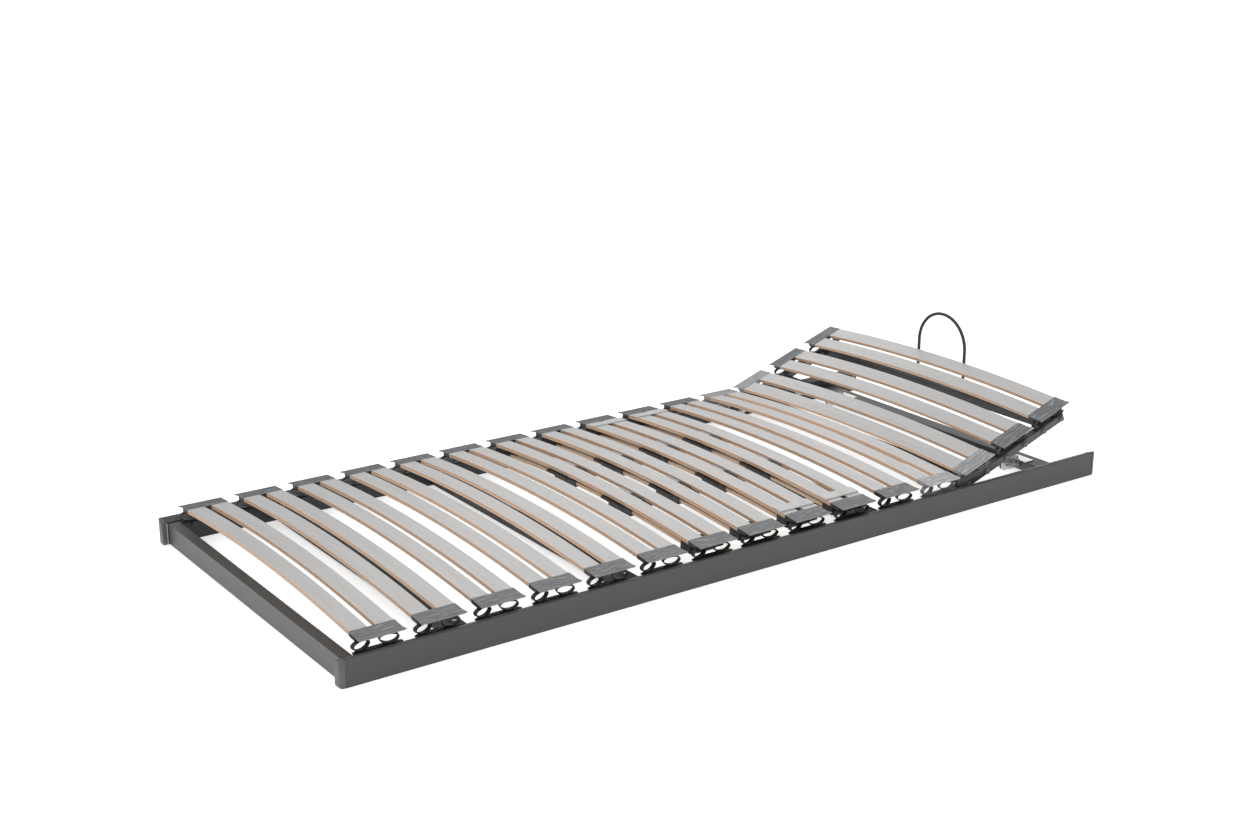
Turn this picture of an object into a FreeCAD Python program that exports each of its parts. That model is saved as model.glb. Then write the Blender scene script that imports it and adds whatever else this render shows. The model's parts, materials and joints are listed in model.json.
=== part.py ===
import FreeCAD, Part
import math
import os
import Sketcher

# Adjustable slatted bed base, millimetres.
# Row frame: origin at the bottom centre, +X to the head end, +Y across, +Z up.
# The head section is modelled flat, about its pivot, and placed at the rest tilt.

os.makedirs("parts", exist_ok=True)
doc = FreeCAD.newDocument("bed_base")
sheet = doc.addObject("Spreadsheet::Sheet", "Dims")

Vec = FreeCAD.Vector
Rot = FreeCAD.Rotation
Place = FreeCAD.Placement


class Dim:
    """A sheet value with the expression that reads it."""

    def __init__(self, value, text):
        self.value = float(value)
        self.text = text

    def __add__(self, other):
        other = dim(other)
        return Dim(self.value + other.value, "(%s + %s)" % (self.text, other.text))

    def __radd__(self, other):
        return dim(other) + self

    def __sub__(self, other):
        other = dim(other)
        return Dim(self.value - other.value, "(%s - %s)" % (self.text, other.text))

    def __rsub__(self, other):
        return dim(other) - self

    def __mul__(self, factor):
        factor = dim(factor)
        return Dim(self.value * factor.value, "(%s * %s)" % (self.text, factor.text))

    def __rmul__(self, factor):
        return self * factor

    def __truediv__(self, factor):
        factor = dim(factor)
        return Dim(self.value / factor.value, "(%s / %s)" % (self.text, factor.text))

    def __neg__(self):
        return Dim(-self.value, "(0 - %s)" % self.text)


def dim(value):
    if isinstance(value, Dim):
        return value
    return Dim(value, "(%.6f)" % value)


cells = {
    "frame_length": 2000, "frame_width": 872, "rail_height": 57, "rail_thick": 22,
    "rail_proud": 1, "rail_flat": 4, "rail_fall": 6.5, "end_cap_length": 10, "end_cap_width": 25, "end_cap_height": 57.5,
    "end_cap_corner": 8, "foot_bar_inset": 15, "foot_bar_thick": 25, "foot_bar_top": 48,
    "head_bar_start": 868, "head_bar_width": 49, "head_bar_low": 6, "head_bar_top": 28,
    "bar_width": 25, "bar_low": 8, "bar_top": 45, "calf_bar_start": -742,
    "thigh_bar_start": -345, "lumbar_bar_start": 304, "fitting_radius": 4.5,
    "fitting_reach": 375, "fitting_proud": 0.6,
    "pair_pitch": 128.8, "first_pair": -906, "slat_width": 38, "slat_thick": 8,
    "slat_gap": 16, "slat_half_span": 404, "slat_crown": 18.86, "slat_end_top": 79.64,
    "cap_foot": 47, "cap_head": 50, "cap_inner": 380, "cap_outer": 422,
    "cap_half_thick": 5.5, "cap_lip": 2.5, "loop_offset": 29, "loop_shift": 6,
    "loop_splay": 12, "loop_half_length": 20,
    "loop_half_height": 10.4, "loop_low": 49.8, "loop_wall": 3, "loop_inner": 388,
    "loop_depth": 14, "frame_loop_out": 7, "carrier_half": 52, "carrier_low": 46,
    "carrier_thick": 4, "carrier_inner": 386, "carrier_width": 18, "peg_radius": 5,
    "peg_height": 42,
    "peg_offset": 28, "under_width": 50, "under_drop": 25, "under_half_span": 382,
    "hanger_half": 44, "hanger_inner": 352, "hanger_outer": 385.5, "hanger_depth": 20.5,
    "bridge_half": 48, "bridge_inner": 340, "bridge_width": 28, "bridge_thick": 3,
    "slider_reach": 109, "slider_length": 84, "slider_gap": 1.6, "slider_wall": 3,
    "slider_half": 52, "slider_neck_half": 24, "cradle_thick": 6.5, "grip_half": 6.8, "grip_rise": 7,
    "pivot_x": 575, "pivot_z": 28, "rest_tilt": 18.9, "head_pitch": 127,
    "first_head_pair": 65.2, "head_rail_start": 18, "head_rail_end": 359,
    "head_rail_outer": 405, "head_rail_thick": 20, "head_rail_low": 2,
    "head_rail_top": 18, "head_beam_low": 6.5, "head_beam_top": 28,
    "pivot_beam_start": 25, "mid_beam_start": 130, "top_beam_start": 299,
    "ear_thick": 4, "pin_radius": 4, "pin_clearance": 0.06, "knob_radius": 6.5,
    "knob_height": 10, "knob_thick": 6, "knob_offset": 30.5,
    "prop_length": 140, "prop_drop": 2, "prop_reach": 314, "prop_thick": 5,
    "prop_half_width": 6, "prop_end_radius": 7, "rack_plate": 3, "rack_gap": 0.4,
    "rack_start": 806, "rack_low": 14, "rack_top": 44, "slot_start": 823.3,
    "slot_end": 855.8, "slot_half": 4.4, "flange_end": 892, "flange_half": 26,
    "flange_thick": 3, "hoop_rod": 4, "hoop_half": 80, "hoop_rise": 159,
    "hoop_bend": 355, "hoop_height": 17, "hoop_corner": 14,
}
for row, (alias, number) in enumerate(cells.items(), start=1):
    sheet.set("A%d" % row, alias)
    sheet.set("B%d" % row, repr(number))
    sheet.setAlias("B%d" % row, alias)
doc.recompute()


class Sizes:
    def __getattr__(self, alias):
        return Dim(float(sheet.get(alias)), "Dims." + alias)


S = Sizes()
half_width = S.frame_width / 2
rail_outer = half_width - S.rail_proud
rail_inner = rail_outer - S.rail_thick
half_length = S.frame_length / 2
crown_radius = (cells["slat_half_span"] ** 2 + cells["slat_crown"] ** 2) / (2.0 * cells["slat_crown"])
crown_centre = cells["slat_end_top"] + cells["slat_crown"] - crown_radius
cap_mid = (cells["cap_inner"] + cells["cap_outer"]) / 2.0
cap_tilt = math.degrees(math.asin(cap_mid / crown_radius))
tilt = math.radians(cells["rest_tilt"])
nodes = []


def surface(reach, drop=0.0):
    """Height of the crowned slat's top surface at a distance from the middle."""
    return crown_centre + math.sqrt((crown_radius - drop) ** 2 - reach ** 2)


# ---- PartDesign helpers -------------------------------------------------------

def new_body(name, place=None):
    body = doc.addObject("PartDesign::Body", name)
    body.Label = name
    body.AllowCompound = True
    if place is not None:
        body.Placement = place
    nodes.append(body)
    return body


def origin_part(body, role):
    for item in body.Origin.OriginFeatures:
        if item.Role == role:
            return item
    raise ValueError(role)


def new_sketch(body, role, at, turn=None):
    """Sketch on an origin plane; at is in the plane's own axes (right, up, normal)."""
    sketch = body.newObject("Sketcher::SketchObject", body.Name + "_sketch")
    sketch.AttachmentSupport = [(origin_part(body, role), "")]
    sketch.MapMode = "FlatFace"
    place = [dim(part) for part in at]
    base = Vec(place[0].value, place[1].value, place[2].value)
    sketch.AttachmentOffset = Place(base, turn or Rot())
    for axis, part in zip("xyz", place):
        sketch.setExpression(".AttachmentOffset.Base." + axis, part.text)
    return sketch


def closed_lines(sketch, points):
    start = sketch.GeometryCount
    count = len(points)
    for i in range(count):
        first = Vec(points[i][0], points[i][1], 0)
        second = Vec(points[(i + 1) % count][0], points[(i + 1) % count][1], 0)
        sketch.addGeometry(Part.LineSegment(first, second), False)
    for i in range(count):
        after = start + (i + 1) % count
        sketch.addConstraint(Sketcher.Constraint("Coincident", start + i, 2, after, 1))
    return start


def pad(body, sketch, length, symmetric=False, label="pad"):
    feature = body.newObject("PartDesign::Pad", body.Name + "_" + label)
    feature.Profile = sketch
    feature.SideType = "Symmetric" if symmetric else "One side"
    feature.Length = dim(length).value
    feature.setExpression("Length", dim(length).text)
    body.Tip = feature
    return feature


def block(body, low, high):
    """Rectangular pad between two corners given as (x, y, z) sizes."""
    low = [dim(part) for part in low]
    high = [dim(part) for part in high]
    wide = high[0] - low[0]
    deep = high[1] - low[1]
    centre = (low[0] + wide / 2, low[1] + deep / 2, low[2])
    sketch = new_sketch(body, "XY_Plane", centre)
    x = wide.value / 2
    y = deep.value / 2
    closed_lines(sketch, [(-x, -y), (x, -y), (x, y), (-x, y)])
    for line in (0, 2):
        sketch.addConstraint(Sketcher.Constraint("Horizontal", line))
    for line in (1, 3):
        sketch.addConstraint(Sketcher.Constraint("Vertical", line))
    sketch.addConstraint(Sketcher.Constraint("Symmetric", 0, 1, 2, 1, -1, 1))
    for name, kind, line, size in (("wide", "DistanceX", 0, wide), ("deep", "DistanceY", 1, deep)):
        index = sketch.addConstraint(Sketcher.Constraint(kind, line, 1, line, 2, size.value))
        sketch.renameConstraint(index, name)
        sketch.setExpression("Constraints." + name, size.text)
    return pad(body, sketch, high[2] - low[2], label="block")


def prism(body, role, at, points, length, symmetric=False, turn=None):
    sketch = new_sketch(body, role, at, turn)
    closed_lines(sketch, points)
    return pad(body, sketch, length, symmetric, "prism")


def disc(body, role, at, radius, length, bore=None):
    """Round pad, symmetric about its sketch; bore adds a concentric hole."""
    sketch = new_sketch(body, role, at)
    for name, size in (("outer", radius), ("bore", bore)):
        if size is None:
            continue
        circle = Part.Circle(Vec(0, 0, 0), Vec(0, 0, 1), dim(size).value)
        index = sketch.addGeometry(circle, False)
        sketch.addConstraint(Sketcher.Constraint("Coincident", index, 3, -1, 1))
        rule = sketch.addConstraint(Sketcher.Constraint("Radius", index, dim(size).value))
        sketch.renameConstraint(rule, name)
        sketch.setExpression("Constraints." + name, dim(size).text)
    return pad(body, sketch, length, True, "disc")


def repeat(body, originals, length, count, role="X_Axis"):
    pattern = body.newObject("PartDesign::LinearPattern", body.Name + "_pattern")
    pattern.Originals = originals
    pattern.Direction = (origin_part(body, role), [""])
    pattern.Length = dim(length).value
    pattern.setExpression("Length", dim(length).text)
    pattern.Occurrences = count
    body.Tip = pattern
    return pattern


def mirror(body, originals, role="XZ_Plane"):
    feature = body.newObject("PartDesign::Mirrored", body.Name + "_mirror")
    feature.Originals = originals
    feature.MirrorPlane = (origin_part(body, role), [""])
    body.Tip = feature
    return feature


def half_turn(body, originals):
    feature = body.newObject("PartDesign::PolarPattern", body.Name + "_turn")
    feature.Originals = originals
    feature.Axis = (origin_part(body, "Z_Axis"), [""])
    feature.Angle = 360
    feature.Occurrences = 2
    body.Tip = feature
    return feature


def pocket(body, sketch, depth):
    doc.recompute()
    before = body.Shape.Volume
    feature = body.newObject("PartDesign::Pocket", body.Name + "_pocket")
    feature.Profile = sketch
    feature.Length = dim(depth).value
    feature.setExpression("Length", dim(depth).text)
    body.Tip = feature
    doc.recompute()
    if not body.Shape.Volume < before - 1:
        raise RuntimeError("pocket cut nothing in " + body.Name)
    return feature


def round_edges(body, base, radius, wanted):
    """Fillet of the base feature's straight edges that pass the wanted test."""
    doc.recompute()
    names = []
    for i, edge in enumerate(base.Shape.Edges, start=1):
        if wanted(edge.CenterOfMass, edge.BoundBox):
            names.append("Edge%d" % i)
    fillet = body.newObject("PartDesign::Fillet", body.Name + "_fillet")
    fillet.Base = (base, names)
    fillet.Radius = radius
    body.Tip = fillet
    return fillet


# ---- fixed frame ----------------------------------------------------------------

def long_edge_top(height):
    def wanted(centre, box):
        return max(box.XLength, box.YLength) > 100 and abs(centre.z - height) < 0.1
    return wanted


for side, name in ((-1, "side_rail_near"), (1, "side_rail_far")):
    rail = new_body(name)
    outer = side * rail_outer.value
    inner = side * rail_inner.value
    high = cells["rail_height"]
    flat = outer - side * cells["rail_flat"]
    section = [(outer, 0), (outer, high), (flat, high), (inner, high - cells["rail_fall"]), (inner, 0)]
    reach = half_length - S.end_cap_length
    bar = prism(rail, "YZ_Plane", (0, 0, -reach), section, reach * 2)
    round_edges(rail, bar, 1.6, long_edge_top(cells["rail_height"]))

caps = new_body("rail_end_caps")
sketch = new_sketch(caps, "XY_Plane", (0, 0, 0))
corner = cells["end_cap_corner"]
far_x = half_length.value
near_x = far_x - cells["end_cap_length"]
far_y = half_width.value
near_y = far_y - cells["end_cap_width"]
outline = [(near_x, near_y), (far_x - 2, near_y), (far_x, near_y + 2), (far_x, far_y - corner)]
for step in range(1, 6):
    angle = math.radians(18 * step)
    outline.append((far_x - corner * (1 - math.cos(angle)), far_y - corner * (1 - math.sin(angle))))
outline.append((near_x, far_y))
for x_side in (-1, 1):
    for y_side in (-1, 1):
        closed_lines(sketch, [(x_side * x, y_side * y) for x, y in outline])
pad(caps, sketch, S.end_cap_height)
sketch = new_sketch(caps, "YZ_Plane", (0, 0, half_length))
high = cells["end_cap_height"]
flat = far_y - cells["rail_flat"] - 1
for y_side in (-1, 1):
    wedge = [(flat, high), (flat, high + 1), (near_y - 1, high + 1), (near_y - 1, high - cells["rail_fall"] - 0.4)]
    closed_lines(sketch, [(y_side * y, z) for y, z in wedge])
pocket(caps, sketch, S.frame_length)

foot = new_body("foot_cross_member")
foot_start = S.foot_bar_inset - half_length
bar = block(foot, (foot_start, -rail_inner, 0), (foot_start + S.foot_bar_thick, rail_inner, S.foot_bar_top))
round_edges(foot, bar, 1.6, long_edge_top(cells["foot_bar_top"]))

head_bar = new_body("head_cross_member")
bar = block(
    head_bar,
    (S.head_bar_start, -rail_inner, S.head_bar_low),
    (S.head_bar_start + S.head_bar_width, rail_inner, S.head_bar_top),
)
round_edges(head_bar, bar, 1.2, long_edge_top(cells["head_bar_top"]))

bar_starts = (
    ("cross_bar_calf", S.calf_bar_start),
    ("cross_bar_thigh", S.thigh_bar_start),
    ("cross_bar_lumbar", S.lumbar_bar_start),
)
for name, start in bar_starts:
    cross = new_body(name)
    bar = block(cross, (start, -rail_inner, S.bar_low), (start + S.bar_width, rail_inner, S.bar_top))
    round_edges(cross, bar, 1.2, long_edge_top(cells["bar_top"]))

fittings = new_body("frame_fittings")
discs = []
for name, start in bar_starts:
    for side in (-1, 1):
        place = (start + S.bar_width / 2, side * S.fitting_reach, S.bar_top + S.fitting_proud / 2)
        discs.append(disc(fittings, "XY_Plane", place, S.fitting_radius, S.fitting_proud))

# The pivot pin stands in the rail, with a spacer up to the hinge ear and a head behind it.
ear_face = S.head_rail_outer - S.head_rail_thick
pins = new_body("pivot_bolts")
shank_out = rail_inner + 8
shank_in = ear_face - S.ear_thick - 4.6
pin_parts = [
    disc(pins, "XZ_Plane", (S.pivot_x, S.pivot_z, (shank_out + shank_in) / 2), S.pin_radius,
         shank_out - shank_in),
    disc(pins, "XZ_Plane", (S.pivot_x, S.pivot_z, (rail_inner + ear_face + 0.6) / 2), 6.5,
         rail_inner - ear_face - 0.6),
    disc(pins, "XZ_Plane", (S.pivot_x, S.pivot_z, shank_in + 2), 7, 4),
]
mirror(pins, pin_parts)


# ---- slats ------------------------------------------------------------------------

def arc_profile(sketch, radius_out, thick, half_span):
    """Crowned strip section in the YZ plane, about the sketch origin's crown centre."""
    radii = (radius_out, radius_out - thick)
    ends = []
    for radius in radii:
        angle = math.asin(half_span / radius)
        low = math.pi / 2 - angle
        high = math.pi / 2 + angle
        circle = Part.Circle(Vec(0, 0, 0), Vec(0, 0, 1), radius)
        sketch.addGeometry(Part.ArcOfCircle(circle, low, high), False)
        ends.append((radius * math.sin(angle), radius * math.cos(angle)))
    for sign in (1, -1):
        first = Vec(sign * ends[0][0], ends[0][1], 0)
        second = Vec(sign * ends[1][0], ends[1][1], 0)
        sketch.addGeometry(Part.LineSegment(first, second), False)
    for line, point in ((2, 1), (3, 2)):
        sketch.addConstraint(Sketcher.Constraint("Coincident", line, 1, 0, point))
        sketch.addConstraint(Sketcher.Constraint("Coincident", line, 2, 1, point))


def slat_pair(name, centre, lift, place=None):
    body = new_body(name, place)
    start = centre - S.slat_gap / 2 - S.slat_width
    sketch = new_sketch(body, "YZ_Plane", (0, lift, start))
    arc_profile(sketch, crown_radius, cells["slat_thick"], cells["slat_half_span"])
    strip = pad(body, sketch, S.slat_width)
    repeat(body, [strip], S.slat_width + S.slat_gap, 2)
    return body


def pair_centre(number):
    return S.first_pair + (number - 1) * S.pair_pitch


for number in range(1, 13):
    slat_pair("slat_pair_%02d" % number, pair_centre(number), dim(crown_centre))

under_radius = crown_radius - cells["under_drop"]
body = new_body("under_slats")
sketch = new_sketch(body, "YZ_Plane", (0, crown_centre, pair_centre(7) - S.under_width / 2))
arc_profile(sketch, under_radius, cells["slat_thick"], cells["under_half_span"])
repeat(body, [pad(body, sketch, S.under_width)], 3 * S.pair_pitch, 4)


# ---- caps, loops and carriers -----------------------------------------------------

def leaning(side):
    """Turn of a plane that falls outwards with the slat ends, near (-1) or far (1)."""
    turn = Rot(Vec(1, 0, 0), cap_tilt)
    if side > 0:
        turn = Rot(Vec(0, 0, 1), 180).multiply(turn)
    return turn


def cap_spot(side, rise):
    """Centre of the cap, shifted along the leaning plane's normal."""
    lean = math.radians(cap_tilt)
    middle = surface(cap_mid) - cells["slat_thick"] / 2.0
    return side * (cap_mid + rise * math.sin(lean)), middle + rise * math.cos(lean)


def double_cap(body, centre, side, lift=0.0):
    """One cap over two slat ends, with a socket for each."""
    foot_end = -cells["cap_foot"]
    head_end = cells["cap_head"]
    half = (cells["cap_outer"] - cells["cap_inner"]) / 2.0
    points = [
        (foot_end, half), (foot_end - 1, -half), (head_end + 1.5, -half), (head_end, -half + 4.5),
        (head_end - 2, -half + 14), (head_end - 2.5, half),
    ]
    thick = cells["cap_half_thick"]
    y, z = cap_spot(side, thick - cells["cap_lip"])
    plate = prism(body, "XY_Plane", (centre, y, z + lift), points, S.cap_lip, turn=leaning(side))
    y, z = cap_spot(side, -thick)
    deep = cells["slat_half_span"] - cap_mid
    points = [
        (foot_end + 0.5, half), (foot_end + 0.5, -deep - 2), (head_end - 3, -deep - 2), (head_end - 3, half),
    ]
    box = prism(
        body, "XY_Plane", (centre, y, z + lift), points, S.cap_half_thick * 2 - S.cap_lip, turn=leaning(side),
    )
    y, z = cap_spot(side, cells["slat_thick"] / 2.0)
    sketch = new_sketch(body, "XY_Plane", (centre, y, z + lift), leaning(side))
    gap = cells["slat_gap"] / 2.0
    edge = gap + cells["slat_width"]
    for sign in (-1, 1):
        corners = [(sign * gap, -deep), (sign * edge, -deep), (sign * edge, half + 1), (sign * gap, half + 1)]
        closed_lines(sketch, corners)
    sockets = pocket(body, sketch, S.slat_thick)
    return [plate, box, sockets]


def loop_pair(body, centre, side, lift=0.0, pegs=True):
    """Two splayed elastomer rings on a boat-shaped carrier, with pegs to the rail."""
    parts = []
    out = S.frame_loop_out if pegs else dim(0)
    ring_z = S.loop_low + S.loop_half_height + lift
    ring_y = S.loop_inner + S.loop_depth / 2 + out
    for sign in (-1, 1):
        place = (centre + sign * S.loop_offset - S.loop_shift, ring_z, -side * ring_y)
        turn = Rot(Vec(0, 1, 0), sign * side * cells["loop_splay"])
        sketch = new_sketch(body, "XZ_Plane", place, turn)
        long = cells["loop_half_length"]
        high = cells["loop_half_height"]
        wall = cells["loop_wall"]
        sketch.addGeometry(Part.Ellipse(Vec(0, 0, 0), long, high), False)
        sketch.addGeometry(Part.Ellipse(Vec(0, 0, 0), long - wall, high - wall), False)
        parts.append(pad(body, sketch, S.loop_depth, True, "ring"))
    tip = cells["carrier_half"]
    wide = cells["carrier_width"] / 2.0
    boat = [(-tip, -4), (-tip + 14, -wide), (tip - 14, -wide), (tip, -4), (tip, 4), (tip - 14, wide),
            (-tip + 14, wide), (-tip, 4)]
    place = (centre, side * (S.carrier_inner + S.carrier_width / 2 + out), S.carrier_low + lift)
    parts.append(prism(body, "XY_Plane", place, boat, S.carrier_thick + 1))
    if pegs:
        for sign in (-1, 1):
            low = S.carrier_inner + out
            high = rail_inner + 8
            place = (centre + sign * S.peg_offset, S.peg_height + lift, -side * (low + high) / 2)
            parts.append(disc(body, "XZ_Plane", place, S.peg_radius, high - low))
    return parts


row_length = 10 * S.pair_pitch
for side, suffix in ((-1, "near"), (1, "far")):
    body = new_body("double_caps_" + suffix)
    repeat(body, double_cap(body, pair_centre(1), side), row_length, 11)
    body = new_body("loop_bearings_" + suffix)
    repeat(body, loop_pair(body, pair_centre(1), side), row_length, 11)

body = new_body("neck_caps_base")
for side in (-1, 1):
    double_cap(body, pair_centre(12), side)
body = new_body("neck_loops_base")
for side in (-1, 1):
    loop_pair(body, pair_centre(12), side)

# Hangers under caps 7 to 10 carry the under-slat ends in a slot.
body = new_body("under_slat_hangers")
features = []
for side in (-1, 1):
    half = cells["hanger_half"]
    inner = cap_mid - cells["hanger_inner"]
    outer = cap_mid - cells["hanger_outer"]
    corners = [(-half, outer), (half, outer), (half, inner), (-half, inner)]
    y, z = cap_spot(side, -cells["cap_half_thick"] - cells["hanger_depth"])
    features.append(prism(
        body, "XY_Plane", (pair_centre(7), y, z), corners, S.hanger_depth, turn=leaning(side),
    ))
    lean = math.radians(cap_tilt)
    drop = cells["under_drop"] - cells["slat_thick"] / 2.0
    y, z = cap_spot(side, -drop)
    sketch = new_sketch(body, "XY_Plane", (pair_centre(7), y, z), leaning(side))
    slot = cells["under_width"] / 2.0
    deep = cap_mid - cells["under_half_span"]
    closed_lines(sketch, [(-slot, deep), (slot, deep), (slot, inner + 1), (-slot, inner + 1)])
    features.append(pocket(body, sketch, S.slat_thick))
repeat(body, features, 3 * S.pair_pitch, 4)

# Flat bridges tie the two slats of pairs 9 and 10 just inside the caps.
bridge_mid = cells["bridge_inner"] + cells["bridge_width"] / 2.0
bridge_lean = math.degrees(math.asin(bridge_mid / crown_radius))


def bridge_turn(side):
    turn = Rot(Vec(1, 0, 0), bridge_lean)
    if side > 0:
        turn = Rot(Vec(0, 0, 1), 180).multiply(turn)
    return turn


body = new_body("shoulder_bridges")
features = []
for side in (-1, 1):
    half = cells["bridge_half"]
    deep = cells["bridge_width"] / 2.0
    corners = [(-half, -deep), (half, -deep), (half, deep), (-half, deep)]
    place = (pair_centre(9), side * bridge_mid, surface(bridge_mid) + 0.02)
    features.append(prism(body, "XY_Plane", place, corners, S.bridge_thick, turn=bridge_turn(side)))
repeat(body, features, S.pair_pitch, 2)

body = new_body("shoulder_latches")
features = []
gap = cells["slat_gap"] / 2.0 - 0.5
for side in (-1, 1):
    corners = [(-gap, -16), (gap, -16), (gap, 12), (-gap, 12)]
    place = (pair_centre(9), side * (bridge_mid + 8), surface(bridge_mid + 8) - 7)
    features.append(prism(body, "XY_Plane", place, corners, 6.6, turn=bridge_turn(side)))
repeat(body, features, S.pair_pitch, 2)

# ---- firmness sliders ---------------------------------------------------------------

slider_lean = math.degrees(math.asin(cells["slider_reach"] / crown_radius))
under_mid = surface(cells["slider_reach"]) - cells["under_drop"] - cells["slat_thick"] / 2.0
slot_half = cells["slat_thick"] / 2.0 + cells["slider_gap"]
cradle_top = cells["under_drop"] - cells["slat_thick"] / 2.0 - cells["slider_gap"]
for number in range(7, 11):
    for side, suffix in ((-1, "near"), (1, "far")):
        spot = Vec(pair_centre(number).value, side * cells["slider_reach"], under_mid)
        turn = Rot(Vec(1, 0, 0), -side * slider_lean)
        body = new_body("slider_%02d_%s" % (number, suffix), Place(spot, turn))
        wide = cells["under_width"] / 2.0 + cells["slider_gap"]
        wall = cells["slider_wall"]
        high = slot_half + wall
        outline = [
            (-wide - wall, -high), (wide + wall, -high), (wide + wall, high),
            (cells["slider_neck_half"], high), (cells["slider_neck_half"], cradle_top - cells["cradle_thick"]),
            (cells["slider_half"] - 3, cradle_top - cells["cradle_thick"]), (cells["slider_half"], cradle_top - 3),
            (cells["slider_half"], cradle_top), (cells["grip_half"], cradle_top),
            (cells["grip_half"], cradle_top + cells["grip_rise"]),
            (-cells["grip_half"], cradle_top + cells["grip_rise"]), (-cells["grip_half"], cradle_top),
            (-cells["slider_half"], cradle_top),
            (-cells["slider_half"], cradle_top - 3), (3 - cells["slider_half"], cradle_top - cells["cradle_thick"]),
            (-cells["slider_neck_half"], cradle_top - cells["cradle_thick"]), (-cells["slider_neck_half"], high),
            (-wide - wall, high),
        ]
        sketch = new_sketch(body, "XZ_Plane", (0, 0, 0))
        closed_lines(sketch, outline)
        window = [(-wide, -slot_half), (wide, -slot_half), (wide, slot_half), (-wide, slot_half)]
        closed_lines(sketch, window)
        pad(body, sketch, S.slider_length, True)

# ---- head section, modelled flat about the pivot ------------------------------------

pivot = Vec(cells["pivot_x"], 0, cells["pivot_z"])
head_place = Place(pivot, Rot(Vec(0, -1, 0), cells["rest_tilt"]))
lift = -cells["pivot_z"]

for side, name in ((-1, "head_side_rail_near"), (1, "head_side_rail_far")):
    body = new_body(name, head_place)
    edges = sorted((side * S.head_rail_outer, side * ear_face), key=lambda part: part.value)
    bar = block(
        body, (S.head_rail_start, edges[0], S.head_rail_low), (S.head_rail_end, edges[1], S.head_rail_top),
    )
    round_edges(body, bar, 1.2, long_edge_top(cells["head_rail_top"]))

beams = (
    ("head_cross_bar_pivot", S.pivot_beam_start, ear_face - S.ear_thick),
    ("head_cross_bar_mid", S.mid_beam_start, ear_face),
    ("head_cross_bar_top", S.top_beam_start, ear_face),
)
for name, start, reach in beams:
    body = new_body(name, head_place)
    bar = block(body, (start, -reach, S.head_beam_low), (start + S.bar_width, reach, S.head_beam_top))
    round_edges(body, bar, 1.2, long_edge_top(cells["head_beam_top"]))

body = new_body("head_hinges", head_place)
sketch = new_sketch(body, "XZ_Plane", (0, 0, ear_face - S.ear_thick / 2))
outline = [(-7, -8), (-11, -3), (-11, 4), (-6, 10), (16, 17.5), (70, 17.5), (70, 4), (16, -4), (7, -9)]
closed_lines(sketch, outline)
hole = S.pin_radius + S.pin_clearance
index = sketch.addGeometry(Part.Circle(Vec(0, 0, 0), Vec(0, 0, 1), hole.value), False)
sketch.addConstraint(Sketcher.Constraint("Coincident", index, 3, -1, 1))
rule = sketch.addConstraint(Sketcher.Constraint("Radius", index, hole.value))
sketch.renameConstraint(rule, "bore")
sketch.setExpression("Constraints.bore", hole.text)
mirror(body, [pad(body, sketch, S.ear_thick, True)])

head_centres = [S.first_head_pair + step * S.head_pitch for step in range(3)]
for number, centre in zip((13, 14, 15), head_centres):
    slat_pair("slat_pair_%02d" % number, centre, dim(crown_centre + lift), head_place)

cap_groups = (("neck_caps_head", head_centres[:1]), ("head_caps", head_centres[1:]))
for name, centres in cap_groups:
    body = new_body(name, head_place)
    for centre in centres:
        for side in (-1, 1):
            double_cap(body, centre, side, lift)

loop_groups = (("neck_loops_head", head_centres[:1]), ("head_loop_bearings", head_centres[1:]))
for name, centres in loop_groups:
    body = new_body(name, head_place)
    for centre in centres:
        for side in (-1, 1):
            loop_pair(body, centre, side, lift, pegs=False)

body = new_body("bearing_knobs", head_place)
features = []
for sign in (-1, 1):
    place = (head_centres[0] + sign * S.knob_offset, S.knob_height, S.head_rail_outer + S.knob_thick / 2)
    features.append(disc(body, "XZ_Plane", place, S.knob_radius, S.knob_thick))
    place = (head_centres[0] + sign * S.knob_offset, S.knob_height, -S.head_rail_outer - S.knob_thick / 2)
    features.append(disc(body, "XZ_Plane", place, S.knob_radius, S.knob_thick))
repeat(body, features, 2 * S.head_pitch, 3)

# ---- ratchets ----------------------------------------------------------------------------

# The prop is as long as the pivot-to-bracket distance, so its pin stays level with the pivot.
bracket_angle = -math.asin(cells["prop_drop"] / cells["prop_length"])
bracket_x = cells["prop_length"] * math.cos(bracket_angle)
bracket_z = cells["prop_length"] * math.sin(bracket_angle)
world_angle = tilt + bracket_angle
upper = Vec(
    cells["pivot_x"] + cells["prop_length"] * math.cos(world_angle), 0,
    cells["pivot_z"] + cells["prop_length"] * math.sin(world_angle),
)

body = new_body("ratchet_brackets", head_place)
ear_mid = S.prop_thick / 2 + S.rack_gap + S.rack_plate / 2
for side in (-1, 1):
    for sign in (-1, 1):
        place = (bracket_x, bracket_z, -side * S.prop_reach - sign * ear_mid)
        outline = [(-9, -5), (-5, -9), (5, -9), (9, -5), (14, 8.5), (-10, 8.5)]
        prism(body, "XZ_Plane", place, outline, S.rack_plate, symmetric=True)
    place = (bracket_x, bracket_z, -side * S.prop_reach)
    disc(body, "XZ_Plane", place, S.pin_radius, S.prop_thick + 2 * S.rack_gap + 2 * S.rack_plate + 4)

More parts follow.
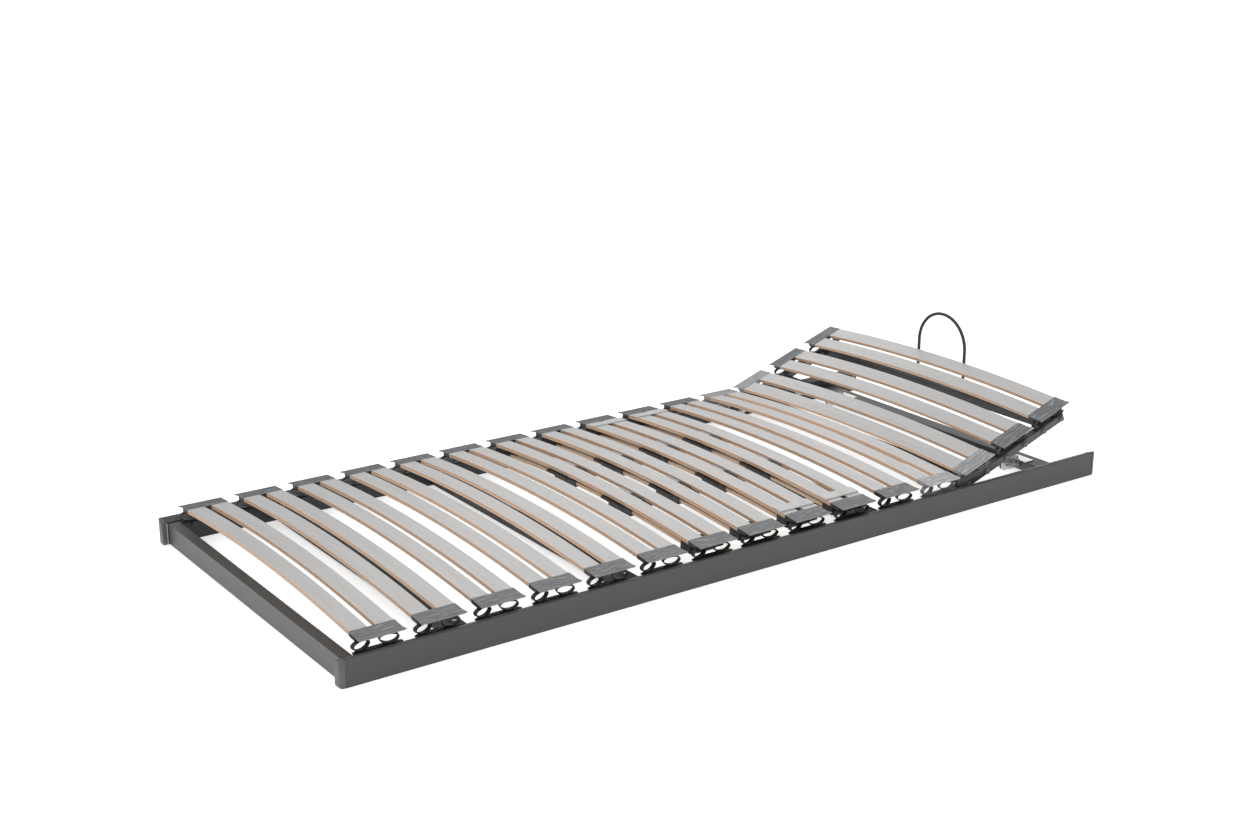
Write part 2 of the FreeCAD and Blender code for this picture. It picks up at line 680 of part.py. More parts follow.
for side, suffix in ((-1, "near"), (1, "far")):
    spot = Vec(upper.x, side * cells["prop_reach"], upper.z)
    turn = Rot(Vec(0, -1, 0), -math.degrees(world_angle))
    body = new_body("ratchet_prop_" + suffix, Place(spot, turn))
    sketch = new_sketch(body, "XZ_Plane", (0, 0, 0))
    wide = cells["prop_half_width"]
    end = cells["prop_end_radius"]
    long = cells["prop_length"]
    outline = []
    for step in range(9):
        angle = math.radians(-80 + 20 * step)
        outline.append((long + end * math.cos(angle), end * math.sin(angle)))
    outline += [(long - 6, wide), (6, wide)]
    for step in range(9):
        angle = math.radians(100 + 20 * step)
        outline.append((end * math.cos(angle), end * math.sin(angle)))
    outline += [(6, -wide), (long - 6, -wide)]
    closed_lines(sketch, outline)
    sketch.addGeometry(Part.Circle(Vec(0, 0, 0), Vec(0, 0, 1), hole.value), False)
    pad(body, sketch, S.prop_thick, True)
    pin_length = S.prop_thick + 2 * S.rack_gap + 2 * S.rack_plate + 2.4
    disc(body, "XZ_Plane", (S.prop_length, 0, 0), S.pin_radius, pin_length)

body = new_body("ratchet_racks")
for side in (-1, 1):
    middle = side * S.prop_reach
    start = cells["rack_start"]
    end = cells["head_bar_start"]
    low = cells["rack_low"]
    top = cells["rack_top"]
    for sign in (-1, 1):
        sketch = new_sketch(body, "XZ_Plane", (0, 0, -middle - sign * ear_mid))
        outline = [(start + 6, low), (end, low), (end, cells["head_bar_top"] + 3), (end - 6, top - 8), (end - 9, top)]
        for tooth in range(5):
            edge = end - 13 - 8 * tooth
            outline += [(edge, top), (edge - 3, top - 4), (edge - 6, top - 4)]
        outline += [(start + 4, top), (start, top - 6), (start, low + 8)]
        closed_lines(sketch, outline)
        radius = cells["slot_half"]
        left = cells["slot_start"]
        right = cells["slot_end"]
        level = cells["pivot_z"]
        slot = []
        for step in range(9):
            angle = math.radians(-90 + 22.5 * step)
            slot.append((right + radius * math.cos(angle), level + radius * math.sin(angle)))
        for step in range(9):
            angle = math.radians(90 + 22.5 * step)
            slot.append((left + radius * math.cos(angle), level + radius * math.sin(angle)))
        closed_lines(sketch, slot)
        pad(body, sketch, S.rack_plate, True, "plate")
    wall = ear_mid + S.rack_plate / 2
    block(body, (S.rack_start + 10, middle - wall, S.rack_low), (S.head_bar_start, middle + wall, S.rack_low + 3))
    block(
        body,
        (S.head_bar_start - 3, middle - S.flange_half, S.head_bar_top),
        (S.flange_end, middle + S.flange_half, S.head_bar_top + S.flange_thick),
    )

# ---- mattress retainer -----------------------------------------------------------------------

body = new_body("retainer_clamps", head_place)
clamp_start = S.top_beam_start + S.bar_width
block(
    body,
    (clamp_start, S.hoop_half - 10, S.hoop_height - 8),
    (clamp_start + 9, S.hoop_half + 10, S.hoop_height + 8),
)
mirror(body, [body.Tip])

# A round rod swept along a bent path, which no single sketch plane holds.
rod = cells["hoop_rod"]
reach = cells["hoop_half"]
low_x = cells["hoop_bend"]
low_z = cells["hoop_height"]
along = Vec(math.sin(tilt), 0, math.cos(tilt))
corner = cells["hoop_corner"]
foot_x = cells["top_beam_start"] + cells["bar_width"] - 6
leg_top = cells["hoop_rise"] - reach


def hoop_side(sign):
    start = Vec(foot_x, sign * reach, low_z)
    bend = Vec(low_x, sign * reach, low_z)
    before = bend - Vec(corner, 0, 0)
    after = bend + along * corner
    inward = (before - bend).normalize() + (after - bend).normalize()
    inward.normalize()
    half_angle = (before - bend).getAngle(after - bend) / 2
    radius = corner * math.tan(half_angle)
    centre = bend + inward * (corner / math.cos(half_angle))
    middle = centre - inward * radius
    top = bend + along * leg_top
    return [
        Part.LineSegment(start, before).toShape(),
        Part.Arc(before, middle, after).toShape(),
        Part.LineSegment(after, top).toShape(),
    ], top


left_edges, left_top = hoop_side(-1)
right_edges, right_top = hoop_side(1)
crest = Vec(low_x, 0, low_z) + along * cells["hoop_rise"]
arch = Part.Arc(left_top, crest, right_top).toShape()
path = Part.Wire(Part.__sortEdges__(left_edges + [arch] + right_edges))
ring = Part.Wire([Part.Circle(Vec(foot_x, -reach, low_z), Vec(1, 0, 0), rod).toShape()])
hoop = doc.addObject("Part::Feature", "mattress_retainer")
hoop.Label = "mattress_retainer"
hoop.Shape = path.makePipeShell([ring], True, True)
hoop.Placement = head_place
nodes.append(hoop)

# ---- checks and files ---------------------------------------------------------------------------

doc.recompute()
faults = []
for item in doc.Objects:
    if "Invalid" in item.State or "Error" in item.State:
        faults.append(item.Name + " " + str(item.State))
for item in nodes:
    shape = item.Shape
    if shape.isNull() or not shape.isValid() or shape.Volume <= 0:
        faults.append(item.Label + " shape")
if faults:
    raise RuntimeError("; ".join(faults))
for item in nodes:
    item.Shape.exportStep("parts/" + item.Label + ".step")
    print(item.Label, len(item.Shape.Solids), round(item.Shape.Volume), item.Shape.BoundBox)
print(len(nodes), "nodes")
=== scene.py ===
import json
import math

import bmesh
import bpy
from mathutils import Matrix, Vector


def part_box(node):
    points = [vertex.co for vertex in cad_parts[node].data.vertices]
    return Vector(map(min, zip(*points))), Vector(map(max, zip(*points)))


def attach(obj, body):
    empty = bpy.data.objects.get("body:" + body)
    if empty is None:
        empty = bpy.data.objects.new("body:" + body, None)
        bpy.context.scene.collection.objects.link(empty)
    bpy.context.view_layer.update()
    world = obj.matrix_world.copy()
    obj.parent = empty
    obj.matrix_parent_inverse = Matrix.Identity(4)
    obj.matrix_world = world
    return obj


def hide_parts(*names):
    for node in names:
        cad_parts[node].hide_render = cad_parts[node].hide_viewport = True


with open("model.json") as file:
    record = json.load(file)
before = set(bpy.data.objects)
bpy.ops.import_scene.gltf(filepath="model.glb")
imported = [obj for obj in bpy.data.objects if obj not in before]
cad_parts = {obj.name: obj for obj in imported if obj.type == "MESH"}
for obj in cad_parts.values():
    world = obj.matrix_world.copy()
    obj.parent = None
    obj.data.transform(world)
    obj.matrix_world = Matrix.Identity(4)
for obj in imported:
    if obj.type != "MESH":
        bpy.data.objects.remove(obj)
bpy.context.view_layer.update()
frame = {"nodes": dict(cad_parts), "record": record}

# ---- sizes shared with the model, in metres ----
SPAN = 0.404
CROWN = 0.01886
END_TOP = 0.07964
SLAT = 0.008
UNDER_DROP = 0.025
RADIUS = (SPAN ** 2 + CROWN ** 2) / (2 * CROWN)
CENTRE = END_TOP + CROWN - RADIUS
CAP_INNER = 0.380
CAP_OUTER = 0.422
CAP_MID = (CAP_INNER + CAP_OUTER) / 2
CAP_HALF = (CAP_OUTER - CAP_INNER) / 2
CAP_LEAN = math.asin(CAP_MID / RADIUS)
RAIL_INNER = 0.413
REST_TILT = math.radians(18.9)
PIVOT = Vector((0.575, 0.0, 0.028))
HEAD_FLAT = (0.0652, 0.1922, 0.3192)
HEAD = Matrix.Translation(PIVOT) @ Matrix.Rotation(REST_TILT, 4, Vector((0, -1, 0)))
HEAD = HEAD @ Matrix.Translation(-PIVOT)
FLAT = Matrix.Identity(4)
SIDES = ((-1, "near"), (1, "far"))
QUARTER_X = Matrix.Rotation(math.pi / 2, 4, "X")
RAIL_OUTER = 0.436
RAIL_SLOPE_START = 0.431
RAIL_SLOPE_WIDTH = 0.018
RAIL_FALL = 0.0065
SLAT_STEP = 0.0644
PLY_MM = 1.14
GLUE_SHARE = 0.13


def surface(reach, drop=0.0):
    return CENTRE + math.sqrt((RADIUS - drop) ** 2 - reach ** 2)


def pair_centre(number):
    low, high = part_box("slat_pair_%02d" % number)
    return (low.x + high.x) / 2


# ---- materials ----

class Paint:
    """A Principled material with short calls for its texture nodes."""

    def __init__(self, name, tilt=False):
        self.material = bpy.data.materials.new(name)
        self.material.use_nodes = True
        self.tree = self.material.node_tree
        self.bsdf = self.tree.nodes["Principled BSDF"]
        self.tilt = tilt
        self.base = self.flat(self.node("TexCoord").outputs["Object"], PIVOT)

    def node(self, kind, **settings):
        made = self.tree.nodes.new("ShaderNode" + kind)
        for key, value in settings.items():
            setattr(made, key, value)
        return made

    def plug(self, value, socket):
        if hasattr(value, "is_output"):
            self.tree.links.new(value, socket)
        else:
            socket.default_value = value

    def flat(self, vector, centre=(0, 0, 0)):
        """A vector turned flat again, for pieces modelled on the raised head section."""
        if not self.tilt:
            return vector
        turn = self.node("VectorRotate", rotation_type="AXIS_ANGLE")
        self.plug(vector, turn.inputs["Vector"])
        turn.inputs["Center"].default_value = centre
        turn.inputs["Axis"].default_value = (0, 1, 0)
        turn.inputs["Angle"].default_value = REST_TILT
        return turn.outputs["Vector"]

    def normal(self):
        return self.flat(self.node("TexCoord").outputs["Normal"])

    def stretched(self, scale):
        mapping = self.node("Mapping")
        self.plug(self.base, mapping.inputs["Vector"])
        mapping.inputs["Scale"].default_value = scale
        return mapping.outputs["Vector"]

    def split(self, vector):
        parts = self.node("SeparateXYZ")
        self.plug(vector, parts.inputs[0])
        return parts.outputs

    def math(self, operation, first, second=0.0, third=0.0):
        made = self.node("Math", operation=operation)
        for socket, value in zip(made.inputs, (first, second, third)):
            self.plug(value, socket)
        return made.outputs[0]

    def times(self, first, second):
        return self.math("MULTIPLY", first, second)

    def noise(self, scale, detail=4.0, rough=0.55, stretch=(1, 1, 1), distort=0.0):
        made = self.node("TexNoise")
        self.plug(self.stretched(stretch), made.inputs["Vector"])
        made.inputs["Scale"].default_value = scale
        made.inputs["Detail"].default_value = detail
        made.inputs["Roughness"].default_value = rough
        made.inputs["Distortion"].default_value = distort
        return made.outputs["Fac"]

    def voronoi(self, scale, stretch=(1, 1, 1)):
        made = self.node("TexVoronoi")
        self.plug(self.stretched(stretch), made.inputs["Vector"])
        made.inputs["Scale"].default_value = scale
        return self.split(made.outputs["Color"])[0]

    def remap(self, value, low, high, to_low, to_high):
        made = self.node("MapRange")
        for socket, number in zip(made.inputs, (value, low, high, to_low, to_high)):
            self.plug(number, socket)
        return made.outputs[0]

    def mix(self, factor, first, second, blend="MIX"):
        made = self.node("Mix", data_type="RGBA", blend_type=blend)
        self.plug(factor, made.inputs[0])
        self.plug(first, made.inputs[6])
        self.plug(second, made.inputs[7])
        return made.outputs[2]

    def bump(self, height, strength, distance, under=None):
        made = self.node("Bump")
        made.inputs["Strength"].default_value = strength
        made.inputs["Distance"].default_value = distance
        self.plug(height, made.inputs["Height"])
        if under is not None:
            self.plug(under, made.inputs["Normal"])
        return made.outputs["Normal"]

    def finish(self, **sockets):
        for name, value in sockets.items():
            self.plug(value, self.bsdf.inputs[name.replace("_", " ")])
        return self.material


def tone(grey, warm=0.0, cool=0.0):
    return (grey * (1 + warm), grey, grey * (1 - warm) * (1 + cool), 1.0)


def plastic(name, grey, tilt=False, warm=0.0, cool=0.03, rough=0.42, relief=0.0, grain=0.25, gloss=0.5):
    """Moulded plastic: faint mottling, scuffed roughness, a painted highlight on sharp edges, a fine eroded
    grain, and a flowing relief on top with painted crest highlights, painted valley shade and painted shade
    at grazing view.
    """
    paint = Paint(name, tilt)
    mottle = paint.noise(38, 5, 0.6)
    colour = paint.mix(
        paint.remap(mottle, 0.35, 0.65, 0, 1), tone(grey * 0.88, warm, cool), tone(grey * 1.1, warm, cool),
    )
    # Painted highlight: sharp convex edges (high pointiness) are lightened towards a paler grey.
    edge = paint.node("NewGeometry").outputs["Pointiness"]
    edge_painted_highlight = paint.remap(edge, 0.515, 0.56, 0.0, 0.35)
    colour = paint.mix(edge_painted_highlight, colour, tone(min(1.0, grey * 1.9 + 0.01), warm, cool))
    skin = paint.bump(paint.noise(2400, 2, 0.6), grain, 0.0002)
    shine = paint.remap(paint.noise(160, 4, 0.7), 0.3, 0.7, rough - 0.07, rough + 0.09)
    if relief:
        # Sweeping ridges: bands along the cap, bent by a broad noise and broken by a finer one.
        bend = paint.times(paint.noise(15, 1.5, 0.5, (0.8, 1.3, 1.0)), 30.0)
        phase = paint.math("ADD", paint.times(paint.split(paint.base)[1], 520.0), bend)
        ridge = paint.remap(paint.math("SINE", phase), -1, 1, 0, 1)
        breaks = paint.remap(paint.noise(75, 3, 0.6, (0.5, 1, 1)), 0.40, 0.56, 0.15, 1)
        both = paint.times(ridge, breaks)
        up = paint.remap(paint.split(paint.normal())[2], 0.75, 0.95, 0, 1)
        height = paint.times(both, up)
        # Painted highlight: the relief's crests on upward faces are lightened towards a pale grey.
        crest_painted_highlight = paint.math("POWER", height, 2.5)
        skin = paint.bump(height, relief, 0.0018, skin)
        # Painted shade: faces seen at a grazing angle are darkened towards a much darker grey.
        shallow = paint.remap(paint.node("LayerWeight").outputs["Facing"], 0.64, 0.80, 0, 0.65)
        colour = paint.mix(paint.times(crest_painted_highlight, 0.45), colour, tone(grey * 2.1, warm, cool))
        # Painted shade: the hollows between ridges on upward faces are darkened.
        valley_painted_shade = paint.times(paint.math("SUBTRACT", up, height), 0.30)
        colour = paint.mix(valley_painted_shade, colour, tone(grey * 0.6, warm, cool))
        colour = paint.mix(shallow, colour, tone(grey * 0.2, warm, cool))
    return paint.finish(Base_Color=colour, Roughness=shine, Normal=skin, Specular_IOR_Level=gloss)


def rubber(name, grey, tilt=False):
    """Elastomer with a dusty bloom and a slightly uneven skin."""
    paint = Paint(name, tilt)
    bloom = paint.remap(paint.noise(70, 6, 0.65), 0.45, 0.75, 0, 0.5)
    colour = paint.mix(bloom, tone(grey), tone(grey * 1.6 + 0.012))
    skin = paint.bump(paint.noise(900, 3, 0.6), 0.35, 0.0003)
    shine = paint.remap(paint.noise(110, 3, 0.5), 0.3, 0.7, 0.42, 0.62)
    return paint.finish(Base_Color=colour, Roughness=shine, Normal=skin, Sheen_Weight=0.15)


def foil(name, grey, along="X", warm=0.0, cool=0.02, tilt=False, rough=0.40, grain=1.0,
         inside=0.0, top_shade_grey=0.0):
    """Decor foil over wood: a pressed pore grain along the piece, with handling marks, and optional painted
    shade on inward faces and on top faces.
    """
    paint = Paint(name, tilt)
    stretch = {"X": (0.045, 1, 1), "Y": (1, 0.045, 1)}[along]
    pores = paint.noise(520, 5, 0.65, stretch, 0.3)
    bands = paint.noise(60, 3, 0.5, stretch)
    colour = paint.mix(
        paint.remap(bands, 0.35, 0.65, 0, 1), tone(grey * (1 - 0.10 * grain), warm, cool),
        tone(grey * (1 + 0.10 * grain), warm, cool),
    )
    colour = paint.mix(paint.remap(pores, 0.52, 0.7, 0, 0.45 * grain), colour, tone(grey * 0.68, warm, cool))
    # Painted shade: faces turned towards the middle of the bed are darkened towards the given grey.
    if inside:
        facing = paint.split(paint.normal())
        inward = paint.times(facing[1], paint.math("SIGN", paint.split(paint.base)[1]))
        dark = paint.remap(inward, -0.2, -0.7, 0, 0.85)
        colour = paint.mix(dark, colour, tone(inside, 0.05))
    # Painted shade: upward faces are darkened towards a warm grey, fading out towards the far end.
    if top_shade_grey:
        dark = paint.remap(paint.split(paint.normal())[2], 0.5, 0.9, 0, 1)
        dark = paint.times(dark, paint.remap(paint.split(paint.base)[1], 0.36, 0.29, 0.0, 0.9))
        colour = paint.mix(dark, colour, tone(top_shade_grey, 0.10))
    scuff = paint.remap(paint.noise(24, 7, 0.75, (1, 1, 2.2), 0.6), 0.60, 0.74, 0, 0.30 * grain)
    colour = paint.mix(scuff, colour, tone(min(1.0, grey * 1.35 + 0.01), warm, cool))
    skin = paint.bump(pores, 0.30 * grain, 0.0004)
    shine = paint.math("ADD", paint.remap(pores, 0.3, 0.7, rough, rough + 0.12), scuff)
    return paint.finish(Base_Color=colour, Roughness=shine, Normal=skin)


def laminate(name, drop=0.0, tilt=False, grey=0.56, warm=0.015):
    """Crowned slat: grey foil faces with a faint grain, and bare beech plies on the cut edges."""
    paint = Paint(name, tilt)
    x, y, z = paint.split(paint.base)
    facing = paint.split(paint.normal())
    side = paint.math("MAXIMUM", paint.math("ABSOLUTE", facing[0]), paint.math("ABSOLUTE", facing[1]))
    cut = paint.math("GREATER_THAN", side, 0.6)
    # Foil face: long soft streaks, small pores, and a slight shift from slat to slat.
    streak = paint.noise(95, 5, 0.6, (1, 0.035, 1), 0.4)
    pores = paint.noise(620, 4, 0.6, (1, 0.05, 1))
    step = paint.math("FLOOR", paint.math("DIVIDE", paint.math("ADD", x, 2.0), SLAT_STEP))
    shift = paint.node("TexWhiteNoise", noise_dimensions="1D")
    paint.plug(step, shift.inputs["W"])
    colour = paint.mix(
        paint.remap(streak, 0.34, 0.66, 0, 1), tone(grey * 0.95, warm * 1.2), tone(grey * 1.05, warm * 0.8),
    )
    colour = paint.mix(paint.remap(pores, 0.56, 0.72, 0, 0.28), colour, tone(grey * 0.80, warm * 2))
    colour = paint.mix(paint.remap(shift.outputs["Value"], 0, 1, 0, 0.10), colour, tone(grey * 0.80, warm))
    # Cut edge: plies follow the crown, so they are read from the distance to its centre.
    rise = paint.math("SUBTRACT", z, CENTRE)
    reach = paint.math("SQRT", paint.math("ADD", paint.times(y, y), paint.times(rise, rise)))
    depth = paint.times(paint.math("SUBTRACT", RADIUS - drop, reach), 1000.0)
    ply = paint.math("DIVIDE", depth, PLY_MM)
    within = paint.math("FRACT", ply)
    layer = paint.node("TexWhiteNoise", noise_dimensions="1D")
    paint.plug(paint.math("ADD", paint.math("FLOOR", ply), paint.times(step, 7.0)), layer.inputs["W"])
    fibre = paint.noise(420, 4, 0.6, (1, 0.08, 1), 0.5)
    wood = paint.mix(fibre, (0.56, 0.33, 0.19, 1), (0.80, 0.55, 0.37, 1))
    wood = paint.mix(paint.remap(layer.outputs["Value"], 0, 1, 0, 0.5), wood, (0.88, 0.68, 0.50, 1))
    glue = paint.math("LESS_THAN", within, GLUE_SHARE)
    wood = paint.mix(paint.times(glue, 0.55), wood, (0.28, 0.14, 0.07, 1))
    skin_edge = paint.math("LESS_THAN", depth, 0.55)
    wood = paint.mix(paint.times(skin_edge, 0.8), wood, tone(grey * 0.7, 0.03))
    colour = paint.mix(cut, colour, wood)
    shine = paint.mix(cut, paint.remap(pores, 0.3, 0.7, 0.33, 0.47), paint.remap(fibre, 0.3, 0.7, 0.6, 0.8))
    height = paint.mix(cut, pores, fibre)
    return paint.finish(Base_Color=colour, Roughness=shine, Normal=paint.bump(height, 0.22, 0.0004))


def zinc(name, grey=0.52, tilt=False, rough=0.34):
    """Zinc-plated steel: faint spangle, rolling lines and tarnish."""
    paint = Paint(name, tilt)
    spangle = paint.voronoi(230)
    tarnish = paint.remap(paint.noise(75, 6, 0.7), 0.5, 0.75, 0, 0.6)
    colour = paint.mix(paint.remap(spangle, 0, 1, 0, 0.5), tone(grey, 0.01), tone(grey * 1.25, 0.0))
    colour = paint.mix(tarnish, colour, (grey * 0.62, grey * 0.56, grey * 0.47, 1))
    lines = paint.noise(900, 2, 0.5, (0.05, 1, 1))
    shine = paint.math("ADD", paint.remap(lines, 0.3, 0.7, rough - 0.06, rough + 0.08),
                       paint.times(tarnish, 0.25))
    return paint.finish(
        Base_Color=colour, Roughness=shine, Normal=paint.bump(lines, 0.12, 0.0002), Metallic=0.92,
    )


def powder(name, grey, tilt=False):
    """Powder-coated rod: orange-peel skin and light rubbing."""
    paint = Paint(name, tilt)
    peel = paint.noise(1300, 2, 0.5)
    rub = paint.remap(paint.noise(50, 6, 0.7), 0.58, 0.75, 0, 0.35)
    colour = paint.mix(rub, tone(grey, -0.02), tone(grey * 2.2 + 0.01))
    shine = paint.remap(peel, 0.3, 0.7, 0.36, 0.5)
    return paint.finish(Base_Color=colour, Roughness=shine, Normal=paint.bump(peel, 0.3, 0.0003))


def raw_wood(name):
    paint = Paint(name)
    fibre = paint.noise(300, 5, 0.6, (1, 1, 0.12), 0.5)
    colour = paint.mix(fibre, (0.55, 0.38, 0.27, 1), (0.80, 0.66, 0.54, 1))
    return paint.finish(Base_Color=colour, Roughness=0.75, Normal=paint.bump(fibre, 0.4, 0.0003))


looks = {
    "rail_foil": foil("rail_foil_dark", 0.058, cool=0.07, grain=0.35, inside=0.012),
    "end_cap_grey": plastic("end_cap_satin", 0.085),
    "cross_member_foil": foil("cross_member_grey", 0.100, "Y", grain=0.6, top_shade_grey=0.045),
    "cross_bar_black": foil("cross_bar_black_foil", 0.010, "Y", warm=0.05, rough=0.5),
    "fitting_steel": zinc("fitting_zinc"),
    "pivot_steel": zinc("pivot_zinc"),
    "slat_laminate": laminate("slat_beech_foil"),
    # The under-slat copy of the slat foil is darker and browner: painted shade for its place below the slats.
    "under_slat_laminate": laminate("under_slat_beech_foil_painted_shade", UNDER_DROP, grey=0.24, warm=0.16),
    "cap_dark_grey": plastic("cap_grey_relief", 0.225, relief=0.7, rough=0.34, gloss=0.1),
    "cap_light_grey": plastic("cap_pale_relief", 0.44, relief=0.6, cool=0.02, rough=0.34, gloss=0.35),
    "elastomer_black": rubber("elastomer_black_skin", 0.014),
    "elastomer_grey": rubber("elastomer_grey_skin", 0.22),
    "hanger_black": plastic("hanger_black_mould", 0.012, rough=0.5),
    "bridge_light_grey": plastic("bridge_pale_mould", 0.52, rough=0.38, warm=0.01, cool=0.0),
    "latch_black": plastic("latch_black_mould", 0.012),
    "slider_charcoal": plastic("slider_charcoal_mould", 0.022, rough=0.45),
    "prop_steel": zinc("prop_zinc", 0.5),
    "rack_steel": zinc("rack_zinc", 0.62, rough=0.28),
}
head_looks = {
    "slat_laminate": laminate("slat_beech_foil_head", tilt=True),
    # Painted shade: the raised section's cap copies are darker than the base's (pale caps 0.33 against 0.44,
    # grey caps 0.215 against 0.225).
    "cap_dark_grey": plastic("cap_grey_relief_head_painted_shade", 0.215, tilt=True, relief=0.7, rough=0.34, gloss=0.1),
    "cap_light_grey": plastic("cap_pale_relief_head_painted_shade", 0.33, tilt=True, relief=0.6, cool=0.02, rough=0.34),
    "elastomer_black": rubber("elastomer_black_skin_head", 0.014, True),
    "elastomer_grey": rubber("elastomer_grey_skin_head", 0.22, True),
    "head_rail_foil": foil("head_rail_foil_dark", 0.095, tilt=True, cool=-0.02),
    "head_bar_black": foil("head_bar_black_foil", 0.016, "Y", warm=0.02, tilt=True),
    "hinge_steel": zinc("hinge_zinc", 0.45, True),
    "knob_grey": plastic("knob_brown_grey", 0.13, True, warm=0.06, cool=0.0),
    "bracket_steel": zinc("bracket_zinc", 0.5, True),
    "clamp_black": plastic("clamp_black_mould", 0.02, True),
    "hoop_black": powder("hoop_powder_black", 0.035, True),
}
tray_black = plastic("tray_black_mould", 0.012, rough=0.5)
# Painted light: the raised section's copy of the black tray is a little lighter than the base's (0.020
# against 0.012).
tray_black_head = plastic("tray_black_mould_head_painted_light", 0.020, True, rough=0.5)
tray_pale = plastic("tray_pale_mould", 0.26)
tray_pale_head = plastic("tray_pale_mould_head", 0.26, True)
insert_grey = plastic("insert_grey_mould", 0.27)
seam_wood = raw_wood("rail_core_wood")

record = frame["record"]
slot_of = {part["node"]: part["material_slot"] for part in record["subparts"]}
body_of = {node: body for body, nodes in record["behaviour"]["bodies"].items() for node in nodes}
for node, thing in frame["nodes"].items():
    table = head_looks if body_of[node] == "head_section" else looks
    thing.data.materials.clear()
    thing.data.materials.append(table[slot_of[node]])


# ---- mesh building ----

class Shape:
    def __init__(self):
        self.bm = bmesh.new()

    def skin(self, rings, where, slot=0, closed=False, capped=True):
        """Faces between successive rings of points; where places them in the row frame."""
        made = [[self.bm.verts.new(where @ Vector(point)) for point in ring] for ring in rings]
        pairs = list(zip(made, made[1:]))
        if closed:
            pairs.append((made[-1], made[0]))
        faces = []
        for first, second in pairs:
            count = len(first)
            for i in range(count):
                j = (i + 1) % count
                faces.append(self.bm.faces.new((first[i], first[j], second[j], second[i])))
        if capped and not closed:
            faces.append(self.bm.faces.new(list(reversed(made[0]))))
            faces.append(self.bm.faces.new(made[-1]))
        for face in faces:
            face.material_index = slot

    def prism(self, outline, low, high, where=FLAT, slot=0):
        """Outline in XY, drawn up from low to high."""
        self.skin([[(x, y, z) for x, y in outline] for z in (low, high)], where, slot)

    def brick(self, low, high, where=FLAT, slot=0):
        corners = [(low[0], low[1]), (high[0], low[1]), (high[0], high[1]), (low[0], high[1])]
        self.prism(corners, low[2], high[2], where, slot)

    def turned(self, profile, where, slot=0, sides=20):
        """Solid turned about local Z from (radius, height) pairs."""
        rings = []
        for radius, height in profile:
            angles = [2 * math.pi * i / sides for i in range(sides)]
            rings.append([(radius * math.cos(a), radius * math.sin(a), height) for a in angles])
        self.skin(rings, where, slot)

    def tube(self, path, radius, where=FLAT, slot=0, sides=10, closed=False):
        points = [Vector(point) for point in path]
        count = len(points)
        rings = []
        side = None
        for i, point in enumerate(points):
            if closed:
                way = points[(i + 1) % count] - points[i - 1]
            else:
                way = points[min(i + 1, count - 1)] - points[max(i - 1, 0)]
            way.normalize()
            if side is None:
                side = way.orthogonal().normalized()
            side = (side - way * side.dot(way)).normalized()
            other = way.cross(side)
            angles = [2 * math.pi * k / sides for k in range(sides)]
            rings.append([point + radius * (math.cos(a) * side + math.sin(a) * other) for a in angles])
        self.skin(rings, where, slot, closed=closed)

    def strap(self, path, wall, depth, where, slot=0):
        """Closed flat band: path in local XZ, depth along local Y."""
        count = len(path)
        rings = []
        for i, (x, z) in enumerate(path):
            before = Vector(path[i - 1])
            after = Vector(path[(i + 1) % count])
            way = (after - before).normalized()
            inward = Vector((-way.y, way.x)) * wall
            half = depth / 2
            rings.append([
                (x, -half, z), (x, half, z),
                (x + inward.x, half, z + inward.y), (x + inward.x, -half, z + inward.y),
            ])
        self.skin(rings, where, slot, closed=True)

    def finish(self, name, body, slot, materials, replaced=(), bevel=0.0006, smooth=32):
        mesh = bpy.data.meshes.new(name)
        bmesh.ops.recalc_face_normals(self.bm, faces=self.bm.faces)
        self.bm.to_mesh(mesh)
        self.bm.free()
        for material in materials:
            mesh.materials.append(material)
        mesh.polygons.foreach_set("use_smooth", [True] * len(mesh.polygons))
        mesh.set_sharp_from_angle(angle=math.radians(smooth))
        piece = bpy.data.objects.new(name, mesh)
        bpy.context.scene.collection.objects.link(piece)
        if bevel:
            modifier = piece.modifiers.new("edge", "BEVEL")
            modifier.width = bevel
            modifier.segments = 2
            modifier.limit_method = "ANGLE"
            modifier.angle_limit = math.radians(40)
            modifier.harden_normals = True
        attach(piece, body)
        if replaced:
            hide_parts(*replaced)


def axis_y(x, y, z):
    """Local Z laid along row Y, at a place."""
    return Matrix.Translation((x, y, z)) @ QUARTER_X


# ---- slat caps ----

def cap_frame(centre, side):
    """Local X along the pair, local Y inwards, local Z up from the slat's middle plane."""
    where = Matrix.Translation((centre, side * CAP_MID, surface(CAP_MID) - SLAT / 2))
    if side > 0:
        where = where @ Matrix.Rotation(math.pi, 4, "Z")
    return where @ Matrix.Rotation(CAP_LEAN, 4, "X")


CAP_TOP = 0.0048
CAP_PLATE_LOW = 0.0034
CAP_END = 0.0480
SOCKET_LOW = -0.0054
SLAT_END_REACH = 0.406
RIDGE_PITCH = 0.0078
RIDGE_BASE = 0.00025
RIDGE_HEIGHT = 0.00042


def cap_edges(v):
    """Foot and head ends of the cap's plan at a place across it."""
    t = (v + CAP_HALF) / (2 * CAP_HALF)
    foot = -CAP_END + 0.0010 * min(1.0, 2.5 * t)
    flare = max(0.0, 1 - t / 0.33)
    return foot, CAP_END - 0.0006 * t + 0.0035 * flare ** 1.6


